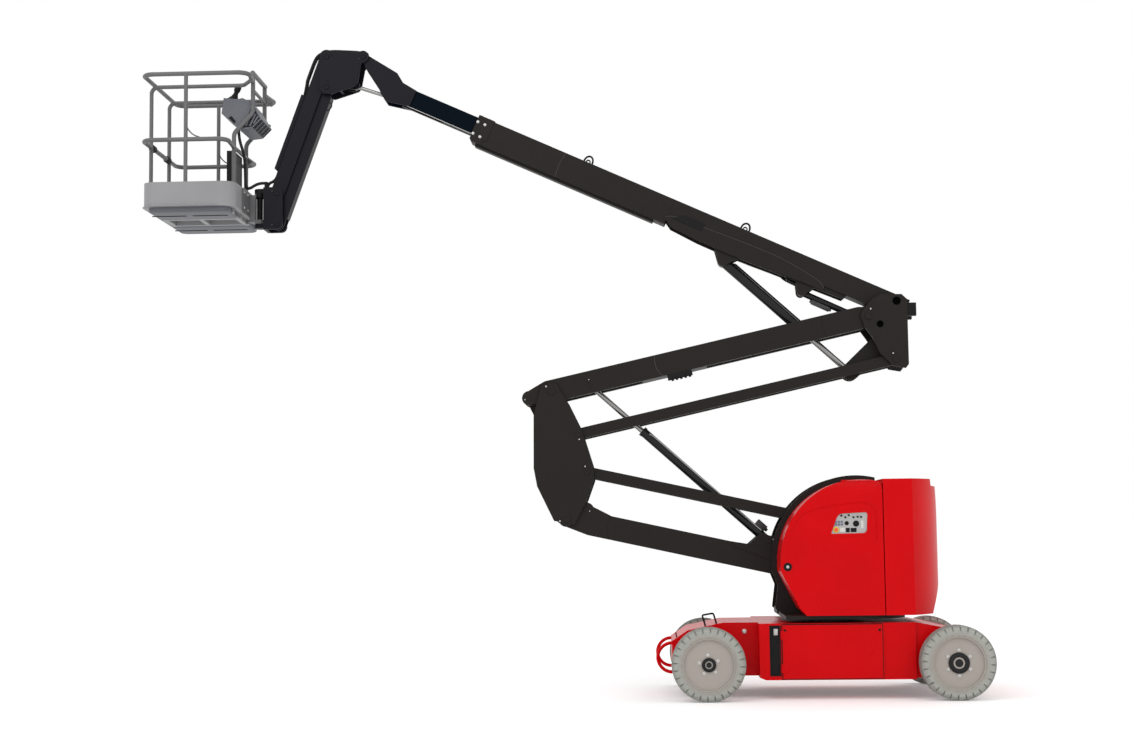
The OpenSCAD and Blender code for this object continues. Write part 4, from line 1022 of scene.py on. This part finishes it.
# Lanyard hooks. A bent steel rod is welded from each middle post to the rail in
# front of it and painted with the rails.
post_half = 0.019
for out, facing in both_sides:
    low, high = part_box("rails_" + facing)
    y = 1000 * (low[1] + post_half if out < 0 else high[1] - post_half)
    hook = profile(y, ((-5368, 4905), (-5362, 4880), (-5352, 4850), (-5318, 4812), (-5290, 4794),
                       (-5262, 4784), (-5246, 4778)))
    finish(tube(hook, 0.012), "lanyard_hook_" + facing, basket_paint, "basket")

# Entry bar sleeves. A moulded rubber grip on each end of the bar, where it slides
# on the gate post.
for out, facing in both_sides:
    sleeve = roundel(0.0265, 0.046, 28, foot=-0.023)
    for up in (1, -1):
        pick("FACE", lambda c, n: n.z * up > 0.9)
        push(0, 0, up * 0.003)
        bpy.ops.transform.resize(value=(1.14, 1.14, 1))
        push(0, 0, up * 0.005)
        step(0.004, 0, 0, -up * 0.002)
    stand(sleeve, machine(-5750.6, out * 236, 4763.5), (0, out, 0))
    finish(sleeve, "entry_sleeve_" + facing, hose_rubber, "entry_bar")

# Console. A moulded desk in the frame's top, with a vented flank on each side and a barred
# grille at its rear, all in plastic; near-black plates behind the ribs and bars are painted shade in the
# openings.
console_plastic = sprayed("console_plastic", (0.125, 0.130, 0.148), 0.5, 0.06, 800, 0.0006, shine=0.4)
coat_nodes(console_plastic, "console")
# Painted shade: near-black plates stand for the dark inside the vents and behind the grille's bars.
vent_shade_dark = sprayed("vent_shade_dark", (0.008, 0.008, 0.010), 0.5, 0.03, 700, 0.0006, shine=0.15)
desk_side, rib_half = 215.2, 7
for out, facing in both_sides:
    flank = profile(out * desk_side, (
        (-4880, 5128), (-4812, 5018), (-4884, 4946), (-4962, 4940), (-4985, 4975), (-4930, 5020)))
    plate("console_flank_shade_" + facing, flank, out, 0.004, vent_shade_dark, "basket")
    for i, (x0, z0, x1, z1) in enumerate((
            (-4935, 4952, -4878, 5070), (-4900, 4950, -4848, 5056), (-4866, 4972, -4826, 5036))):
        wide = Vector((z1 - z0, 0, x0 - x1)).normalized() * rib_half
        rib = profile(out * 219, (
            (x0 - wide.x, z0 - wide.z), (x0 + wide.x, z0 + wide.z),
            (x1 + wide.x, z1 + wide.z), (x1 - wide.x, z1 - wide.z)))
        plate("console_rib_%s_%d" % (facing, i), rib, out, 0.005, console_plastic, "basket")
    vent = profile(out * desk_side, ((-5088, 5030), (-5062, 5046), (-5024, 4996), (-5036, 4976)))
    plate("console_vent_shade_" + facing, vent, out, 0.003, vent_shade_dark, "basket")
rear_mid = machine(-4839.6, 0, 4974.5)
rear_out, rear_way = Vector((0.7071, 0, -0.7071)), Vector((1, 0, 1))
grille = block((0.100, 0.400, 0.010))
pick("FACE", lambda c, n: n.z < -0.9)
step(0.008, 0, 0, 0.004)
lie_along(grille, rear_way, rear_mid + rear_out * 0.001)
finish(grille, "console_grille_shade", vent_shade_dark, "basket")
for i, y in enumerate((-0.145, -0.05, 0.045, 0.14)):
    bar = block((0.104, 0.014, 0.012))
    pick_all()
    soften_all(0.003)
    lie_along(bar, rear_way, rear_mid + rear_out * 0.003 + Vector((0, y, 0)))
    finish(bar, "console_bar_%d" % i, console_plastic, "basket")


# Desk controls. A joystick with a pleated rubber boot, a stop button on its yellow
# collar and a row of switch boots are fixed through the desk's top.
def draw_up(piece, steps):
    """Draws a round blank up: each step raises its top and widens or narrows it."""
    for widen, rise in steps:
        top = max(v.co.z for v in piece.data.vertices)
        pick("FACE", lambda c, n: n.z > 0.9 and c.z > top - 0.0005)
        push(0, 0, rise)
        bpy.ops.transform.resize(value=(widen, widen, 1))
        bpy.ops.object.mode_set(mode="OBJECT")


stick = roundel(0.048, 0.006, 28, foot=-0.002)
draw_up(stick, ((0.80, 0.008), (0.90, 0.008), (0.74, 0.009), (0.94, 0.008), (0.80, 0.009), (0.88, 0.010),
                (1.0, 0.012), (1.36, 0.010), (1.06, 0.019), (0.96, 0.020), (0.80, 0.008)))
stand(stick, machine(-5070, -120, 5202), (0.34, 0, 0.94), 1.2)
finish(stick, "joystick", black_trim, "basket")
desk_up = Vector((0.109, 0, 0.994))
stop_spot = machine(-5060, 130, 5199.4)
stud("desk_stop_collar", stop_spot, desk_up, "basket", 0.026, 0.003, stop_yellow, 0.9)
stud("desk_stop_button", stop_spot, desk_up, "basket", 0.020, 0.016, stop_red, 0.8)
for i in range(5):
    spot = machine(-5095, -40 + 32 * i, 5203.2)
    stud("desk_switch_%d" % i, spot, desk_up, "basket", 0.0085, 0.012, black_trim, 0.5)

# Lanyard eyes. Three corner plates of steel are welded to the far leg of the
# console's frame and painted with it.
for i, (x, z) in enumerate(((-4849.6, 5283), (-4849.6, 5054), (-5015.6, 4729))):
    ear = profile(231, [(x + a - 4, z + b) for a, b in (
        (0, 28), (14, 24), (42, 5), (42, -5), (14, -24), (0, -28))])
    plate("frame_eye_%d" % i, ear, 1, 0.008, basket_paint, "basket")

# Control cable. It hangs from the desk behind the document box to the mount, is
# clipped on the bracket and runs on into the jib.
cable_y, cable_wide = -40, 0.026
run = profile(cable_y, (
    (-5040, 4960), (-5036, 4900), (-5024, 4840), (-5000, 4770), (-4986, 4700), (-4980, 4617), (-4978, 4530),
    (-4975, 4470), (-4962, 4438), (-4946, 4430)))
finish(tube(run, cable_wide), "desk_cable", hose_rubber, "basket")
run = profile(cable_y, (
    (-4962, 4438), (-4946, 4432), (-4925, 4440), (-4900, 4456), (-4862, 4474), (-4815, 4479), (-4780, 4476)))
link = finish(tube(run, cable_wide), "mount_cable", hose_rubber, None)
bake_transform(link)
run = profile(cable_y, (
    (-4780, 4430), (-4778, 4456), (-4760, 4478), (-4732, 4488), (-4706, 4510), (-4690, 4545), (-4676, 4592),
    (-4660, 4634), (-4648, 4664)))
finish(tube(run, cable_wide), "jib_cable", hose_rubber, "jib_upper")
clip = block((0.030, 0.050, 0.056), machine(-4788, cable_y, 4454))
pick_top()
step(0.006, 0, 0, 0.005)
pick("EDGE", lambda c, d: abs(d.z) > 0.5)
soften(0.003)
finish(clip, "bracket_cable_clip", black_trim, "bracket")

# Basket mount. A bolted back plate with a welded web and two eyes, which turn on an
# upright steel pin in the jib's bracket, open between the eyes.
foot_z, head_z, eye_high = 4119.5, 4385.5, 34
back = block((0.012, 0.600, 0.220), machine(-4944.6, 0, 4285.5))
pick_along(0)
soften(0.020, 4)
made = [back]
for x0, x1, half, z0, z1, bend in (
        (-4940, -4887, 42, foot_z + 12, head_z - 12, 0.008),
        (-4890, -4814.6, 40, foot_z, foot_z + eye_high, 0.0385),
        (-4890, -4814.6, 40, head_z - eye_high, head_z, 0.0385)):
    lump = block(((x1 - x0) / 1000, 2 * half / 1000, (z1 - z0) / 1000),
                 machine((x0 + x1) / 2, 0, (z0 + z1) / 2))
    end = machine(x1, 0, 0).x
    pick("EDGE", lambda c, d: abs(d.z) > 0.9 and c.x > end - 0.001)
    soften(bend, 7)
    made.append(lump)
mount = finish(join(made), "mount_plate", basket_paint, "basket")
pivot = roundel(0.025, 0.078, 36)
draw_up(pivot, ((0.52, 0.0), (1.0, 0.196), (1.923, 0.0), (1.0, 0.072), (0.86, 0.004)))
pivot.location = machine(-4854.6, 0, 4077.5)
finish(pivot, "mount_pin", black_trim, "basket")
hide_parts("basket_mount")
spots = [(machine(-4938.6, y, z), (1, 0, 0), 0.9) for y in (-250, -110, 110, 250) for z in (4225, 4360)]
finish(set_out(bolt, spots), "mount_bolts", zinc_bolt, "basket")

for model in (bolt, dish, pin_head, keeper, bore_shade_disc):
    bpy.data.objects.remove(model)
